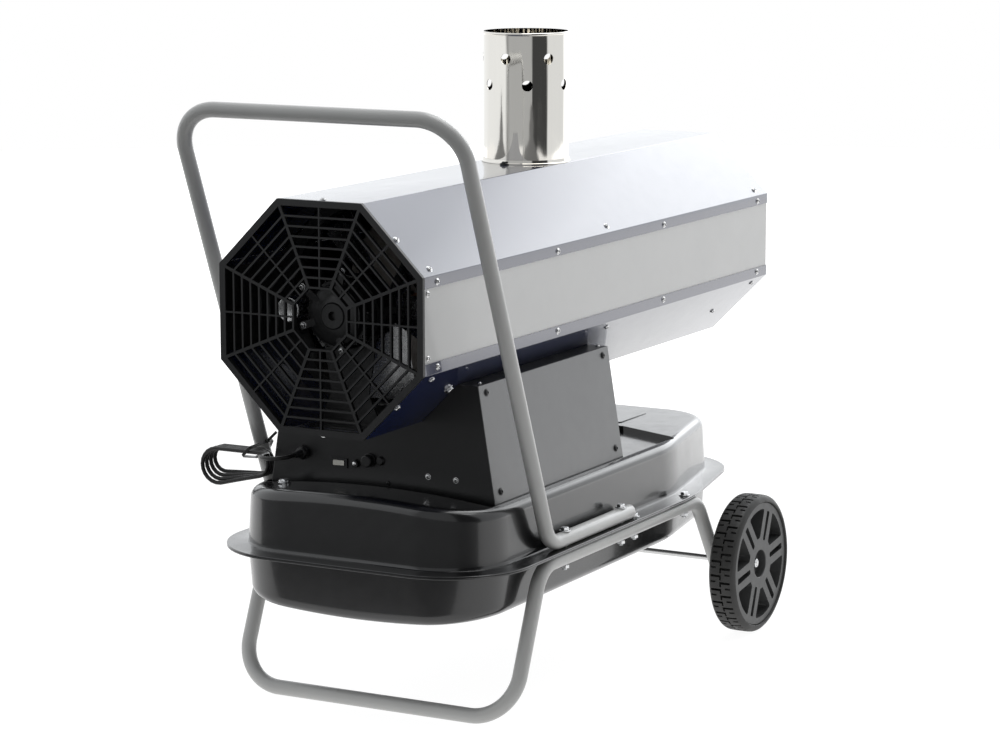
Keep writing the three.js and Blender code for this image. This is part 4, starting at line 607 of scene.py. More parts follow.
# Fasteners
def screw(place, normal, radius=4.6, height=3.0, turn=0.4):
    """Pan-head screw on a thin washer, its cross recess drawn as raised near-black bars: painted shade."""
    profile = [(0, 0), (radius * 1.25, 0), (radius * 1.25, 0.5), (radius, 0.5), (radius, height * 0.5),
               (radius * 0.82, height * 0.86), (radius * 0.45, height), (0, height * 1.02)]
    head = lathe(profile, 24)
    arms = []
    for angle in (turn, turn + pi / 2):
        arm = box(-radius * 0.6, radius * 0.6, -radius * 0.14, radius * 0.14, height * 0.8, height * 1.05)
        arms.append(moved(arm, Matrix.Rotation(angle, 3, "Z")))
    return turned_to(two_tone(head, arms), place, normal)


def cap_screw(place, normal, radius=5.0, height=3.4):
    """Black button-head screw with a round socket."""
    profile = [(0, 0), (radius * 1.3, 0), (radius * 1.3, 0.6), (radius, 0.6), (radius, height * 0.4),
               (radius * 0.8, height * 0.85),
               (radius * 0.5, height), (radius * 0.42, height), (radius * 0.42, height * 0.4), (0, height * 0.4)]
    return turned_to(lathe(profile, 24), place, normal)


def hexagon_bolt(place, normal, radius=7.0, height=5.0, washer=9.0):
    head = prism(circle(radius, 6), "z", 1.2, height)
    crown = lathe([(0, height - 0.2), (radius * 0.82, height - 0.2), (radius * 0.7, height + 0.8), (0, height + 0.8)],
                  32)
    return turned_to(merge(lathe([(0, 0), (washer, 0), (washer, 1.2), (0, 1.2)], 40), head, crown), place, normal)


# Casing
def cover_outline(sign):
    lip = HALF_FLAT - 18.5
    line = [(APOTHEM, lip), (APOTHEM, HALF_FLAT), (HALF_FLAT, APOTHEM), (-HALF_FLAT, APOTHEM),
            (-APOTHEM, HALF_FLAT), (-APOTHEM, lip)]
    placed = [(y, AXIS_Z + sign * z) for y, z in line]
    return folded(placed if sign > 0 else placed[::-1], SHEET, 2.6)


upper = minus(prism(cover_outline(1), "x", *CASING),
              rod(75.3, AXIS_Z + 100, AXIS_Z + 200, centre=(FLUE_X, 0, 0), sides=96))
new_piece("upper_casing", upper, "cover_blue", stands_for=("upper_cover",), smooth=25)
lower = minus(prism(cover_outline(-1), "x", *CASING), rod(6, AXIS_Z - 200, AXIS_Z - 180, centre=(280, -40, 0)))
new_piece("lower_casing", lower, "cover_blue", stands_for=("lower_cover",), smooth=25)


def casing_screws():
    slant = sqrt(0.5)
    places = [((14, 0, AXIS_Z + APOTHEM), (0, 0, 1)), ((9, 0, AXIS_Z - APOTHEM), (0, 0, -1))]
    for side in (-1, 1):
        for x in (45, 453, 862, 1270):
            places += [((x, side * APOTHEM, AXIS_Z + z), (0, side, 0)) for z in (67.5, -67.5)]
        for x in (37, 652, 1273):
            places.append(((x, side * 179, 761.2), (0, side * slant, slant)))
        for x in (46, 657, 1269):
            places.append(((x, side * 177.4, 584.8), (0, side * slant, -slant)))
        places.append(((14, side * 133.2, 807.1), (0, side * slant, slant)))
        places.append(((14, side * 133.2, 540.7), (0, side * slant, -slant)))
        places.append(((1198, side * 129.2, 536.7), (0, side * slant, -slant)))
        places += [((17, side * 186.9, z), (0, side, 0)) for z in (725, 623)]
    return merge(*[screw(place, normal, turn=0.4 + place[0] * 0.013) for place, normal in places])


new_piece("casing_screws", casing_screws(), CROSS_HEAD)
slant_bolts = [hexagon_bolt((163, side * 141.2, 548.7), (0, side, -1)) for side in (-1, 1)]
bevelled(new_piece("cradle_bolts", merge(*slant_bolts), "screw_steel", smooth=30), 0.4)


def outlet_end():
    """Panel with a round mouth, set back in the casing behind a folded rim."""
    reach = APOTHEM - 2 * SHEET - 0.6
    plate = minus(prism(octagon(reach), "x", 1299, 1300.5), rod(150.3, 1290, 1310, "x", (0, 0, AXIS_Z), 128))
    section = ((reach, 1300), (reach, 1315), (reach - 1.5, 1315), (reach - 1.5, 1300), (reach, 1300))
    rim = loft([[(x, *p) for p in octagon(a)] for a, x in section], caps=False)
    return merge(plate, rim)


def outlet_spigot():
    inner, outer, face = 148.5, 150.0, 1300.8
    bead = [(outer + 2.5 * sin(a), 1327.5 - 2.5 * cos(a)) for a in [pi * k / 8 for k in range(9)]]
    profile = [(inner, face - 40), (outer, face - 40), (outer, face), (outer + 15.4, face), (outer + 16, face + 0.5),
               (outer + 16, face + 1.5), (outer + 1.6, face + 1.5), (outer, face + 3)] + bead + [(inner, 1330)]
    return lathe(profile, 128, "x", (0, 0, AXIS_Z))


bevelled(new_piece("outlet_face", outlet_end(), "cover_blue", stands_for=("outlet_panel",)), 0.4)
new_piece("outlet_spigot", outlet_spigot(), "black_steel", stands_for=("outlet_ring",))
ring_screws = [screw((1302.3, 158 * cos(a), AXIS_Z + 158 * sin(a)), (1, 0, 0), 3.2, 2)
               for a in [pi * (k + 0.5) / 4 for k in range(8)]]
new_piece("outlet_screws", merge(*ring_screws), CROSS_HEAD)


# Flue
FLUE_TOP = 1090


def flue_sleeve():
    inner, outer, base = FLUE_RADIUS - 1, FLUE_RADIUS, AXIS_Z + APOTHEM + 0.3
    hem = [(outer + 1.6 * sin(a), FLUE_TOP - 2.5 - 2.5 * cos(a)) for a in [pi * k / 8 for k in range(9)]]
    sleeve = lathe([(inner, base), (outer, base)] + hem + [(inner, FLUE_TOP)], 128)
    tools = []
    for row in range(2):
        for k in range(6):
            tools.append(kth(rod(9.5, 60, 90, "x", (0, 0, FLUE_TOP - 45 - 46 * row)), k + row / 2, 6))
    return moved(minus(sleeve, *tools), place=(FLUE_X, 0, 0))


def flue_flange():
    """Low bright collar round the flue's foot, with a black screwed tab before and behind."""
    base = AXIS_Z + APOTHEM + 0.3
    ring = lathe([(75.3, base), (78.2, base), (78.2, base + 1.6), (77, base + 2.4), (76.6, base + 7),
                  (75.3, base + 7)], 96)
    tabs = []
    for side in (1, -1):
        corners = [(side * 77, -6), (side * 87.3, -6), (side * 87.3, 6), (side * 77, 6)]
        tabs.append(prism(rounded(corners, 2.5, 4), "z", base, base + 2.6))
    return moved(two_tone(ring, tabs), place=(FLUE_X, 0, 0))


bevelled(new_piece("flue_sleeve", flue_sleeve(), "polished_steel", stands_for=("flue_pipe",), smooth=30), 0.3, 1)
new_piece("flue_foot", flue_flange(), ("polished_steel", "black_steel"),
          stands_for=("flue_collar",))
foot_screws = [cap_screw((FLUE_X + side * 82.5, 0, AXIS_Z + APOTHEM + 2.9), (0, 0, 1), 3.6, 3) for side in (1, -1)]
new_piece("flue_screws", merge(*foot_screws), "plastic_black")


# Heat exchanger, seen through the outlet and the flue
def exchanger_drum():
    dish = [(145 * sin(a), 1180 + 26 * cos(a)) for a in [pi * k / 24 for k in range(13)]]
    weld = [(145, 1176), (146.6, 1172), (145, 1168)]
    profile = [(98.3, 330), (143, 330), (145, 332)] + weld[::-1] + dish[::-1] + [(0, 1190), (98.3, 1150)]
    stub = lathe([(72.2, AXIS_Z + 120), (73.7, AXIS_Z + 120), (73.7, AXIS_Z + 218.4), (72.2, AXIS_Z + 218.4)], 96,
                 centre=(FLUE_X, 0, 0))
    return merge(lathe(profile, 96, "x", (0, 0, AXIS_Z)), stub)


new_piece("exchanger_drum", exchanger_drum(), "burner_steel", stands_for=("heat_exchanger",))


# Fan and motor
def fan_blade(turn):
    """Twisted, bowed blade as a closed sheet from the hub to the tip."""
    sections = []
    bows = [k / 8 for k in range(9)]
    for step in range(13):
        share = step / 12
        r = 22 + share * 140
        chord, pitch = 52 + share * 44, radians(48 - share * 24)
        ring = []
        for side in (1, -1):
            for bow in bows if side > 0 else bows[::-1]:
                u = (bow - 0.5) * chord * (1 - 0.1 * max(share - 0.9, 0) * 10)
                v = 7 * sin(pi * bow) + side
                across = u * cos(pitch) - v * sin(pitch)
                height = sqrt(max(r * r - across * across, 144))
                ring.append((211 + u * sin(pitch) + v * cos(pitch), across, height))
        sections.append(ring)
    return moved(loft(sections), Matrix.Rotation(turn, 3, "X"), (0, 0, AXIS_Z))


def fan_rotor():
    hub = lathe([(0, 196), (21, 196), (24, 199), (24, 223), (21, 226), (0, 226)], 48, "x", (0, 0, AXIS_Z))
    rotor = merge(hub, *[fan_blade(2 * pi * (k + 0.5) / 5) for k in range(5)])
    shaft = lathe([(0, 46), (7, 46), (7, 235), (6, 236), (0, 236)], 32, "x", (0, 0, AXIS_Z))
    return two_tone(rotor, [shaft])


def motor_shell():
    """Ribbed motor body between two bells, the rear one with a raised boss."""
    profile = [(7.5, 38), (20, 38), (22, 40), (42, 41), (48, 44), (50, 50), (50, 54), (55, 54), (55, 144), (50, 144),
               (50, 156), (46, 160), (7.5, 160)]
    parts = [lathe(profile, 72, "x", (0, 0, AXIS_Z))]
    for k in range(24):
        parts.append(kth(box(54, 144, -1.1, 1.1, 53, 58), k + 0.5, 24, "X", (0, 0, AXIS_Z)))
    return merge(*parts)


MOTOR_SCREWS = ((-17, 72), (57, 43), (56, -19), (-16, -55))


def motor_lugs():
    """Arms from the motor's rear bell out to its fixing screws."""
    arms = []
    for y, z in MOTOR_SCREWS:
        reach = hypot(y, z)
        arm = prism(rounded([(36, -6), (reach + 7, -6), (reach + 7, 6), (36, 6)], 4, 5), "x", 40.5, 43.5)
        arms.append(moved(arm, Matrix.Rotation(atan2(z, y), 3, "X"), (0, 0, AXIS_Z)))
    return merge(*arms)


new_piece("fan_rotor", fan_rotor(), ("aluminium", "black_steel"), body="fan", stands_for=("fan_impeller",), smooth=40)
new_piece("motor_shell", motor_shell(), "black_steel", stands_for=("fan_motor",))
new_piece("motor_lugs", motor_lugs(), "black_steel")
lug_screws = [screw((43.5 - 3, y, AXIS_Z + z), (-1, 0, 0), 4.6, 4) for y, z in MOTOR_SCREWS]
new_piece("motor_screws", merge(*lug_screws), CROSS_HEAD)
can = [(0, 37), (17, 37), (18.5, 36), (20, 36.4), (20.5, 37.5), (20.5, 40), (19.9, 41), (19.9, 42.6), (20.5, 43.6),
       (20.5, 106), (18.5, 108), (0, 108)]
new_piece("capacitor_can", lathe(can, 64, "x", (0, 82, AXIS_Z + 5)), "aluminium", stands_for=("motor_capacitor",))


# Fuel tank: two drawn shells that meet at a flange
TAPER = atan(0.213)
RECESS_END = 905


def tank_half(offset):
    """Outline of the tank's half at positive Y, from the middle of the rear to the middle of the front."""
    normals = [Vector((-1, 0)), Vector((0, 1)), Vector((sin(TAPER), cos(TAPER))), Vector((1, 0))]
    corners = [((75, 240), 112, 14), ((805, 240), 420, 6), ((1118, 173.33), 112, 12)]
    points = []
    for (corner, radius, steps), n1, n2 in zip(corners, normals, normals[1:]):
        centre = Vector(corner) - (n1 + n2) * radius / (1 + n1.dot(n2))
        start = atan2(n1.y, n1.x)
        sweep = n1.angle(n2)
        angles = [start - sweep * k / steps for k in range(steps + 1)]
        reach = radius + offset
        points += [(centre.x + reach * cos(a), centre.y + reach * sin(a)) for a in angles]
    return points


def tank_ring(offset, z, lift):
    half = tank_half(offset)
    rear = [(half[0][0], -half[0][1] + 2 * half[0][1] * k / TANK_COLUMNS) for k in range(1, TANK_COLUMNS)]
    front = [(half[-1][0], half[-1][1] - 2 * half[-1][1] * k / TANK_COLUMNS) for k in range(1, TANK_COLUMNS)]
    outline = rear + half + front + [(x, -y) for x, y in reversed(half)]
    return [(x, y, z + lift(x, y)) for x, y in outline]


def tank_cap(offset, z, lift):
    """Grid of faces that closes the last ring."""
    bm = bmesh.new()
    rows = []
    for x, y in tank_half(offset):
        line = [(x, -y + 2 * y * k / TANK_COLUMNS) for k in range(TANK_COLUMNS + 1)]
        rows.append([bm.verts.new((px, py, z + lift(px, py))) for px, py in line])
    for a, b in zip(rows, rows[1:]):
        for k in range(TANK_COLUMNS):
            bm.faces.new((a[k], a[k + 1], b[k + 1], b[k]))
    return bm


def tank_shell(profile, lift):
    """Closed shell from (offset, z, share of the lift) rings, its first ring flat."""
    rings = [tank_ring(offset, z, lambda x, y, share=share: share * lift(x, y)) for offset, z, share in profile]
    wall = loft(rings, caps=False)
    wall.verts.ensure_lookup_table()
    wall.faces.new(wall.verts[:len(rings[0])])
    offset, z, share = profile[-1]
    return merge(wall, tank_cap(offset, z, lambda x, y: share * lift(x, y)))


def arch(height, end):
    return lambda x, y: height * max(0.0, 1 - (y / 223) ** 2) if x < end else 0.0


def rounding(z, way, radius=17, lean=4, steps=7):
    angles = [pi / 2 * k / steps for k in range(1, steps + 1)]
    return [(-lean - radius * (1 - cos(a)), z - way * radius * (1 - sin(a)), 1) for a in angles]


BOLT_TOPS = ((341, 292.4), (549, 292.4), (600, 266.7), (803, 266.7))
FRAME_BOLTS = [(x, side * RAIL_Y, top) for side in (-1, 1) for x, top in BOLT_TOPS]


def flange_bores(low, high):
    return [rod(4.7, low, high, centre=(x, y, 0), sides=24) for x, y, _ in FRAME_BOLTS]


def upper_shell():
    wall = [(36.4, 263.8, 0), (37, 264.4, 0), (37, 265.8, 0), (36.4, 266.4, 0), (4, 266.4, 0), (1.6, 267.1, 0),
            (0.2, 269.4, 0), (0, 272, 0.03), (-3.9, 341, 0.97), (-4, 343, 1)]
    shell = tank_shell(wall + rounding(TANK_TOP, 1), arch(14, 174))
    corners = [(168, -218.5), (850, -218.5), (RECESS_END, -88.5), (RECESS_END, 88.5), (850, 218.5), (168, 218.5)]
    recess = prism(rounded(corners, 8), "z", RECESS_FLOOR, 390)
    return minus(shell, recess, rod(26.3, 300, 400, centre=(*FILLER_AT, 0), sides=64),
                 rod(8.3, 300, 400, centre=(*GAUGE_AT, 0)),
                 rod(4.3, 300, 400, centre=(151, 166, 0)), *flange_bores(250, 280))


def lower_shell():
    wall = [(36.4, 263.5, 0), (37, 262.9, 0), (37, 261.5, 0), (36.4, 260.9, 0), (4, 260.9, 0), (1.6, 260.2, 0),
            (0.2, 258, 0), (0, 255.5, 0.03), (-3.9, 200.3, 0.97), (-4, 198, 1)]
    shell = tank_shell(wall + rounding(181, -1), arch(-15, 2000))
    return minus(shell, rod(7.3, 150, 185, centre=(1010, 0, 0)), *flange_bores(250, 280))


bevelled(new_piece("tank_top_shell", upper_shell(), "tank_black", stands_for=("tank_upper",), smooth=40), 2.2, 3)
new_piece("tank_bottom_shell", lower_shell(), "tank_black", stands_for=("tank_lower",), smooth=40)


# Fittings on the tank
def on_tank(bm, x, y):
    return moved(bm, place=(x, y, 0))


def cap_top():
    """Screw cap with eight finger grips and a ring pressed into its roof."""
    skirt = [(31.5, 370.6), (33.2, 370.6), (34, 371.4), (34, 388), (33.4, 390.1), (31.6, 391.4), (28, 391.6),
             (26.5, 391),
             (24, 390.8), (22, 391.2), (21, 391.6), (9, 391.6), (9, 385.3), (31.5, 385.3)]
    grips = [kth(rod(4, 360, 400, centre=(36, 0, 0), sides=24), k, 8) for k in range(8)]
    return on_tank(minus(lathe(skirt, 96), *grips), *FILLER_AT)


def gauge_head():
    bezel = [(0, 300.3), (7.9, 300.3), (7.9, 360.3), (23.2, 360.3), (24, 361.1), (24, 371.3), (23.1, 373.4),
             (21.4, 374.3),
             (19.6, 374), (18.6, 372.3), (0, 372.3)]
    return on_tank(lathe(bezel, 72), *GAUGE_AT)


def gauge_marks():
    """Generic level scale: nine ticks on an arc and a needle on its pivot."""
    marks = []
    for k in range(9):
        length = 4.5 if k % 4 == 0 else 2.6
        tick = box(15.8 - length, 15.8, -0.35, 0.35, 372.2, 372.6)
        marks.append(moved(tick, Matrix.Rotation(radians(150 + 30 * k), 3, "Z")))
    needle = box(-3, 12.5, -0.5, 0.5, 372.5, 373)
    marks += [moved(needle, Matrix.Rotation(radians(205), 3, "Z")), rod(1.8, 372.2, 373.4, sides=24)]
    return on_tank(merge(*marks), *GAUGE_AT)


def neck_tube():
    neck = [(24.4, 314), (26, 314), (26, 360.3), (34, 360.3), (34, 362.2), (33.4, 362.7), (27.5, 362.7), (26, 364),
            (26, 381),
            (25.4, 382), (24.9, 382), (24.4, 381)]
    return on_tank(lathe(neck, 64), *FILLER_AT)


def dip_fitting():
    """Low round head over a thin washer."""
    base = 360 + 14 * (1 - (155 / 223) ** 2) + 0.3
    washer = [(0, base), (11, base), (11, base + 1.6), (9.6, base + 2), (9.4, base + 4.4), (8, base + 5.6),
              (4, base + 6.2),
              (0, base + 6.3)]
    return on_tank(merge(lathe(washer, 48), rod(4, base - 60, base + 1)), 151, 166)


def filler_pad():
    """Flat raised pad of the pressing between the gauge and the plateau's edge."""
    pad = prism(rounded([(930, -70), (1042, -70), (1042, 70), (930, 70)], 6), "z", 359.5, 361.4)
    return minus(pad, rod(24.6, 350, 370, centre=(*GAUGE_AT, 0), sides=72))


new_piece("fuel_cap_shell", cap_top(), "plastic_black", body="fuel_cap", stands_for=("fuel_cap",))
new_piece("gauge_head", gauge_head(), "plastic_black", stands_for=("fuel_gauge",))
new_piece("gauge_scale", gauge_marks(), "screw_steel")
new_piece("filler_tube", neck_tube(), "tank_black", stands_for=("filler_neck",))
new_piece("dip_fitting", dip_fitting(), "zinc", stands_for=("tank_fitting",), smooth=40)
bevelled(new_piece("filler_pad", filler_pad(), "tank_black", smooth=40), 0.8, 3)


# Trolley tubes, bolts and wheels
TUBE = 12.7


def capped(points):
    """Path and radii of a tube with rounded ends."""
    drops = ((0, 2.2), (0.6, 1.1), (1.6, 0.3), (3, 0))
    first, last = (points[1] - points[0]).normalized(), (points[-2] - points[-1]).normalized()
    head = [points[0] + first * along for along, _ in drops]
    tail = [points[-1] + last * along for along, _ in reversed(drops)]
    radii = [TUBE - drop for _, drop in drops]
    return head + points[1:-1] + tail, radii + [TUBE] * (len(points) - 2) + radii[::-1]


def trolley_tube(half, radii):
    corners = half + [(x, -y, z) for x, y, z in reversed(half)]
    path, widths = capped(bent(corners, radii + radii[::-1]))
    return tube(path, TUBE, 32, widths)


handle_half = [(583, -RAIL_Y, 279.4), (284.1, -RAIL_Y, 279.4), (-11.1, -RAIL_Y, 999.4)]
frame_half = [(943.4, -RAIL_Y, 111.7), (852.9, -RAIL_Y, 247.9), (255.5, -RAIL_Y, 247.9), (154.4, -RAIL_Y, 12.7)]
new_piece("handle_tube", trolley_tube(handle_half, [46, 76]), "tube_silver", stands_for=("handle",), smooth=50)
new_piece("frame_tube", trolley_tube(frame_half, [52, 58, 76]), "tube_silver", stands_for=("lower_frame",), smooth=50)


def frame_bolt(x, y, top):
    """Washer, hexagon head, threaded shank and the nut under the lower rail."""
    bottom = 234.9
    washer = lathe([(0, top), (9.2, top), (9.5, top + 0.3), (9.5, top + 1.3), (9.2, top + 1.6), (0, top + 1.6)], 40)
    head = prism(circle(7.5, 6, 0.35), "z", top + 1.2, top + 5.8)
    crown = lathe([(0, top + 5.6), (6.2, top + 5.6), (5.4, top + 6.6), (0, top + 6.6)], 32)
    nut = prism(circle(7.5, 6, 0.7), "z", bottom - 5, bottom)
    thread = []
    for k in range(4):
        thread += [(4, bottom - 5 - k * 0.9), (3.5, bottom - 5.45 - k * 0.9)]
    shank = lathe([(0, top + 1), (4, top + 1)] + thread + [(3.4, 226.9), (0, 226.9)], 32)
    return moved(merge(washer, head, crown, nut, shank), place=(x, y, 0))


BOLT_SPOTS = ("rail_rear", "rail_front", "flange_rear", "flange_front")
for i, spot in enumerate(FRAME_BOLTS):
    node = ("right_" if spot[1] < 0 else "left_") + BOLT_SPOTS[i % 4] + "_bolt"
    bevelled(new_piece(node + "_parts", frame_bolt(*spot), "zinc", stands_for=(node,), smooth=30), 0.3, 1)

WHEEL = (934.5, 0, 125)
TYRE_FACES = (302.8, 354.8)
HUB_FACE = 349.8
RIM = 111.5
SPOKES = 6
SPOKE_TURN = radians(9)


def tyre():
    """Solid tyre with two rows of staggered blocks between smooth round shoulders."""
    inner, outer = TYRE_FACES
    middle = (inner + outer) / 2
    side = [(102, outer - 14), (RIM + 0.3, outer - 14), (RIM + 0.3, outer - 2), (RIM + 1, outer - 0.6),
            (RIM + 2.5, outer),
            (116.5, outer - 0.8), (120.4, outer - 2.8), (123.2, outer - 5.6), (124.4, outer - 8.4), (124.8, outer - 12),
            (125, middle)]
    profile = [(r, 2 * middle - h) for r, h in side[:-1]] + side[::-1]
    tools = []
    for k in range(30):
        for row in (-1, 1):
            blocks = (box(118, 130, -1.9, 1.9, middle + row * 0.2, middle + row * 18.5),
                      box(118, 130, -1.9, 7.5, middle - 1.3, middle + 1.3),
                      box(120.5, 130, 9, 12, middle + row * 9, middle + row * 18.5))
            tools += [kth(block, k + (row + 1) / 4, 30) for block in blocks]
    return minus(lathe(profile, 120), *tools)


def hub_openings():
    tools = []
    spoke_half = 19
    for k in range(SPOKES):
        middle = SPOKE_TURN + 2 * pi * (k + 0.5) / SPOKES
        corners = []
        for r, shares in ((100, (1, 0.5, 0, -0.5, -1)), (48, (-1, 1))):
            spread = pi / SPOKES - asin(spoke_half / r)
            corners += [(r * cos(middle - s * spread), r * sin(middle - s * spread)) for s in shares]
        tools.append(prism(rounded(corners, 4), "z", 300, 360))
        slot = prism(rounded([(43, -4.6), (97, -5.6), (97, 5.6), (43, 4.6)], 3), "z", 300, 360)
        tools.append(moved(slot, Matrix.Rotation(SPOKE_TURN + 2 * pi * k / SPOKES, 3, "Z")))
    return tools


def hub():
    """One-piece wheel disc with six double spokes and a deep round well at its middle."""
    face = HUB_FACE + 1.5
    profile = [(5.6, 274.4), (23, 274.4), (24, 275.4), (24, face - 35), (101, face - 35), (101.7, face - 34),
               (101.7, face - 17),
               (RIM, face - 13), (RIM, face - 1), (RIM - 1, face), (26, face), (25, face - 1), (24.2, face - 13.5),
               (5.6, face - 13.5)]
    return minus(lathe(profile, 120), *hub_openings())


def on_axle(bm, side):
    return moved(bm, Matrix.Rotation(-side * pi / 2, 3, "X"), WHEEL)


for side, word in ((-1, "right"), (1, "left")):
    body = word + "_wheel"
    bevelled(new_piece(word + "_tread", on_axle(tyre(), side), "tyre_black", body=body,
                       stands_for=(word + "_tyre",), smooth=30), 0.5, 1)
    bevelled(new_piece(word + "_rim", on_axle(hub(), side), "wheel_grey", body=body, stands_for=(word + "_wheel_hub",),
                       smooth=30), 1.2)
    cap = lathe([(5.3, HUB_FACE - 11.7), (10, HUB_FACE - 11.7), (10, HUB_FACE - 10), (8.6, HUB_FACE - 9),
                 (8, HUB_FACE - 5.4),
                 (7, HUB_FACE - 4.7), (5.3, HUB_FACE - 4.7)], 40)
    new_piece(word + "_cap_ring", on_axle(cap, side), "zinc", stands_for=(word + "_axle_cap",))
axle_end = [(0, -345.8), (4.2, -345.8), (5, -345), (5, 345), (4.2, 345.8), (0, 345.8)]
new_piece("axle_rod", lathe(axle_end, 40, "y", (WHEEL[0], 0, WHEEL[2])), "screw_steel", stands_for=("axle",))


# Controls and screws on the plinth
def from_rear(bm, y, z):
    """A shape made about +Z, pointing out of the plinth's rear wall."""
    return moved(bm, Matrix.Rotation(-pi / 2, 3, "Y"), (PLINTH[0], y, z))


def gland():
    profile = [(0, -9), (8, -9), (8, 8.3), (10.6, 8.3), (10.8, 9), (10.4, 10.5), (9.6, 12), (8.4, 13.3), (7.4, 13.6)]
    for k in range(5):
        radius = 7.1 - 0.38 * k
        profile += [(radius, 15 + 3.6 * k), (radius - 0.7, 15.8 + 3.6 * k), (radius - 0.7, 17.4 + 3.6 * k)]
    profile += [(5.2, 33.3), (3.6, 33.3), (3.6, 30), (0, 30)]
    flats = prism(rounded(circle(12.5, 6), 1.2), "z", 0.3, 8.3)
    nut = prism(circle(12.5, 6), "z", -9, -1.8)
    return from_rear(merge(lathe(profile, 48), flats, nut), 149, 414)


def socket_cap_shape():
    ribs = [kth(rod(1.1, 5, 12.6, centre=(10.3, 0, 0), sides=12), k, 18) for k in range(18)]
    profile = [(0, -12), (6, -12), (6, 0.3), (11.4, 0.3), (12, 0.9), (12, 2.7), (11.4, 3.3), (10, 3.3), (10, 12.5),
               (9.6, 13.6),
               (8.4, 14.3), (0, 14.3)]
    return from_rear(minus(lathe(profile, 72), *ribs), 22, 412)


def reset_knob():
    """Black knob with a bright dome at its middle."""
    ring = lathe([(0, -16), (5, -16), (5, 4), (6.4, 4), (7, 4.5), (7, 5.8), (6.4, 6.4), (4.6, 6.4), (4.2, 5.4),
                  (0, 5.4)], 48)
    dome = lathe([(0, 5), (3.9, 5), (3.6, 6), (2.2, 6.8), (0, 7)], 40)
    return from_rear(two_tone(ring, [dome]), 49, 404)


def blank_plug():
    profile = [(0, 0.2), (7.8, 0.2), (7.8, 1.4), (7.2, 2), (6.6, 4), (5.6, 4.8), (0, 5)]
    return from_rear(lathe(profile, 48), 1, 413)


bevelled(new_piece("gland_body", gland(), "plastic_black", stands_for=("cable_gland",), smooth=30), 0.3, 1)
new_piece("socket_cap_shell", socket_cap_shape(), "plastic_black", body="socket_cap",
          stands_for=("thermostat_socket_cap",),
          smooth=30)
new_piece("reset_knob", reset_knob(), ("plastic_black", "screw_steel"), body="reset_button",
          stands_for=("reset_button",))
new_piece("blank_plug", blank_plug(), "plastic_black")
wall_screws = [screw((PLINTH[0], y, z), (-1, 0, 0), 4.2, 2.8) for y, z in ((-89, 395), (-141, 394))]
new_piece("wall_screws", merge(*wall_screws), CROSS_HEAD)
dark_heads = [cap_screw((PLINTH[0], -13, 377), (-1, 0, 0), 3.4, 2.6)]
for side in (-1, 1):
    for x in (210, 627):
        for z in (539, 378):
            half = 214 - 0.1623 * (z - 361)
            dark_heads.append(cap_screw((x, side * half, z), (0, side * 0.987, 0.160)))
new_piece("cover_screws", merge(*dark_heads), "plastic_black")
shelf_screws = [screw((x, side * 169, SHOULDER_Z), (0, 0, 1), 3.4, 2.4) for side in (-1, 1) for x in (215, 640)]
new_piece("shelf_screws", merge(*shelf_screws), CROSS_HEAD)


# Edge widths and steps of the CAD nodes that are shown as they are
NODE_EDGES = (
    (0.5, 2, ("fan_grille", "plinth", "right_service_cover", "left_service_cover", "rocker_switch_frame")),
    (0.4, 2, ("right_side_panel", "left_side_panel", "fan_shroud", "motor_bracket", "cap_seal")),
    (0.4, 1, ("burner_head", "combustion_chamber", "exchanger_cradle")),
    (0.8, 2, ("drain_plug",)),
    (0.7, 3, ("rocker_switch_key",)),
    (1.2, 3, ("fuel_pump", "ignition_transformer")),
)
for width, steps, names in NODE_EDGES:
    for name in names:
        bevelled(frame["nodes"][name], width, steps)


# Studio
# Brightness of the studio round the heater, by compass angle in degrees from the -Y side towards +X
GLOW = ((-180, 1.05), (-120, 1.05), (-114, 0.34), (-106, 0.5), (-48, 0.5), (-44, 0.06), (-5, 0.06), (-1, 0.9),
        (57, 0.9), (68, 1.9),
        (100, 1.9), (118, 1.2), (180, 1.05))
PANEL_LIGHT = 1.9


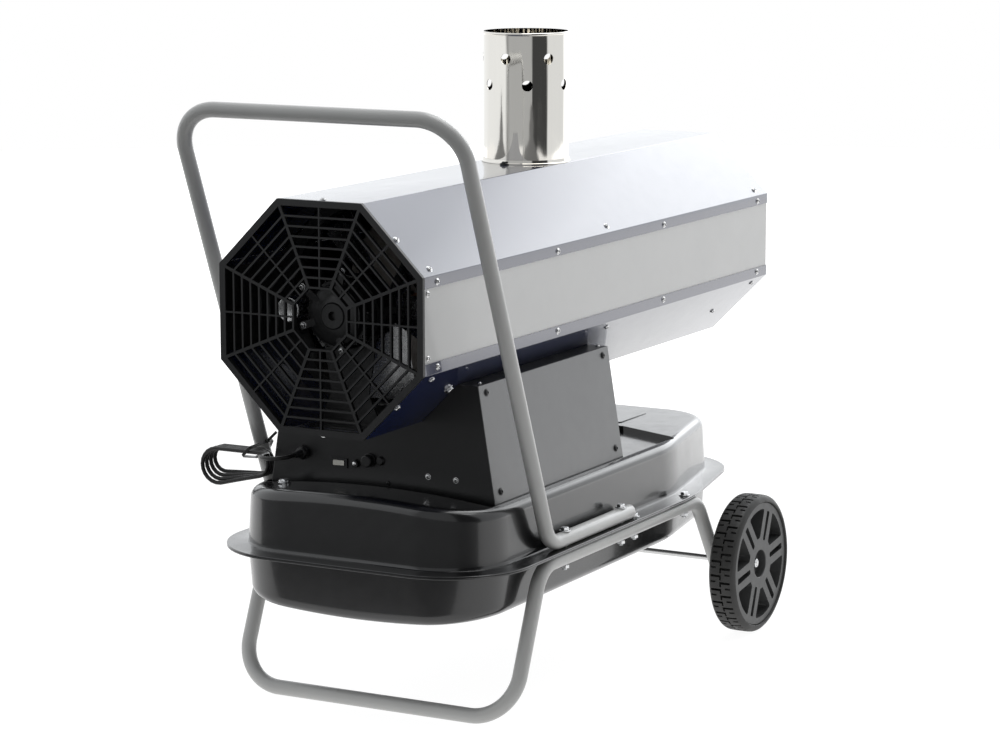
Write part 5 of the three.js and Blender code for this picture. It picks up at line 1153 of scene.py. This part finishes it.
def world_light():
    """Soft light by compass angle, with a tall bright panel ahead, and a white backdrop for the camera."""
    world = bpy.data.worlds.new("studio")
    bpy.context.scene.world = world
    world.use_nodes = True
    tree = world.node_tree
    link = tree.links.new
    split = tree.nodes.new("ShaderNodeSeparateXYZ")
    link(tree.nodes.new("ShaderNodeTexCoord").outputs["Generated"], split.inputs[0])

    def math_node(operation, *values):
        node = tree.nodes.new("ShaderNodeMath")
        node.operation = operation
        for socket, value in zip(node.inputs, values):
            if isinstance(value, (int, float)):
                socket.default_value = value
            else:
                link(value, socket)
        return node.outputs[0]

    def window(value, low, high, soft):
        rise, fall = tree.nodes.new("ShaderNodeMapRange"), tree.nodes.new("ShaderNodeMapRange")
        for node, edge, way in ((rise, low, 1), (fall, high, -1)):
            node.inputs["From Min"].default_value = edge - way * soft
            node.inputs["From Max"].default_value = edge + way * soft
            link(value, node.inputs["Value"])
        return math_node("MULTIPLY", rise.outputs[0], fall.outputs[0])

    turn = math_node("ARCTAN2", split.outputs["X"], math_node("MULTIPLY", split.outputs["Y"], -1.0))
    share = math_node("MULTIPLY_ADD", turn, 0.5 / pi, 0.5)
    ramp = tree.nodes.new("ShaderNodeValToRGB")
    link(share, ramp.inputs[0])
    stops = ramp.color_ramp.elements
    for degrees, _ in GLOW[1:-1]:
        stops.new((degrees + 180) / 360)
    for stop, (degrees, level) in zip(stops, GLOW):
        stop.position = (degrees + 180) / 360
        stop.color = (level / 3, level / 3, level / 3, 1)
    panel = math_node("MULTIPLY", window(split.outputs["Z"], 0.22, 0.47, 0.024), window(turn, 1.2, 1.9, 0.12))
    surface = tree.nodes["Background"]
    surface.inputs["Color"].default_value = (0.96, 0.98, 1.0, 1.0)
    round_about = math_node("MULTIPLY", ramp.outputs[0], 3.0)
    link(math_node("MULTIPLY_ADD", panel, PANEL_LIGHT, round_about), surface.inputs["Strength"])
    backdrop = tree.nodes.new("ShaderNodeBackground")
    backdrop.inputs["Color"].default_value = (1, 1, 1, 1)
    mix = tree.nodes.new("ShaderNodeMixShader")
    link(tree.nodes.new("ShaderNodeLightPath").outputs["Is Camera Ray"], mix.inputs[0])
    link(surface.outputs[0], mix.inputs[1])
    link(backdrop.outputs[0], mix.inputs[2])
    link(mix.outputs[0], tree.nodes["World Output"].inputs["Surface"])


def softbox(name, place, target, width, height, power):
    data = bpy.data.lights.new(name, "AREA")
    data.shape = "RECTANGLE"
    data.size, data.size_y = width, height
    data.energy = power
    light = bpy.data.objects.new(name, data)
    light.visible_camera = False
    show(light)
    light.location = place
    light.rotation_euler = (Vector(target) - Vector(place)).to_track_quat("-Z", "Y").to_euler()


def stage_piece(name, bm, colour, glow):
    piece = bpy.data.objects.new(name, mesh_of(bm, name))
    show(piece)
    n = Nodes(name)
    n.put(Base_Color=(colour, colour, colour), Roughness=0.8, Emission_Color=(1.0, 1.0, 1.0))
    n.put(Emission_Strength=glow(n) if callable(glow) else glow)
    piece.data.materials.append(n.material)
    return piece


def brighter_ahead(n):
    """The floor's glow, about half as strong again beyond the outlet end."""
    split = n.tree.nodes.new("ShaderNodeSeparateXYZ")
    n.link(n.where, split.inputs[0])
    return n.ramp(split.outputs["X"], 0.95, 1.45, 1.3, 2.8)


def studio_floor():
    """Pale round floor, and behind the heater a dark card flat on it that shows only in reflections."""
    floor = bmesh.new()
    bmesh.ops.create_circle(floor, cap_ends=True, segments=128, radius=9.0)
    stage_piece("studio_floor", floor, 0.1, brighter_ahead)
    card = bmesh.new()
    bmesh.ops.create_grid(card, x_segments=1, y_segments=1, size=1.0)
    bmesh.ops.scale(card, vec=(3.5, 7.5, 1), verts=card.verts)
    bmesh.ops.translate(card, vec=(-4.5, 0, 0.004), verts=card.verts)
    stage_piece("dark_card", card, 0.1, 0.05).visible_camera = False


world_light()
softbox("top", (0.3, -0.6, 3.2), (0, 0, 0.6), 2.4, 1.8, 30)
studio_floor()

bpy.context.scene.view_settings.view_transform = "Standard"
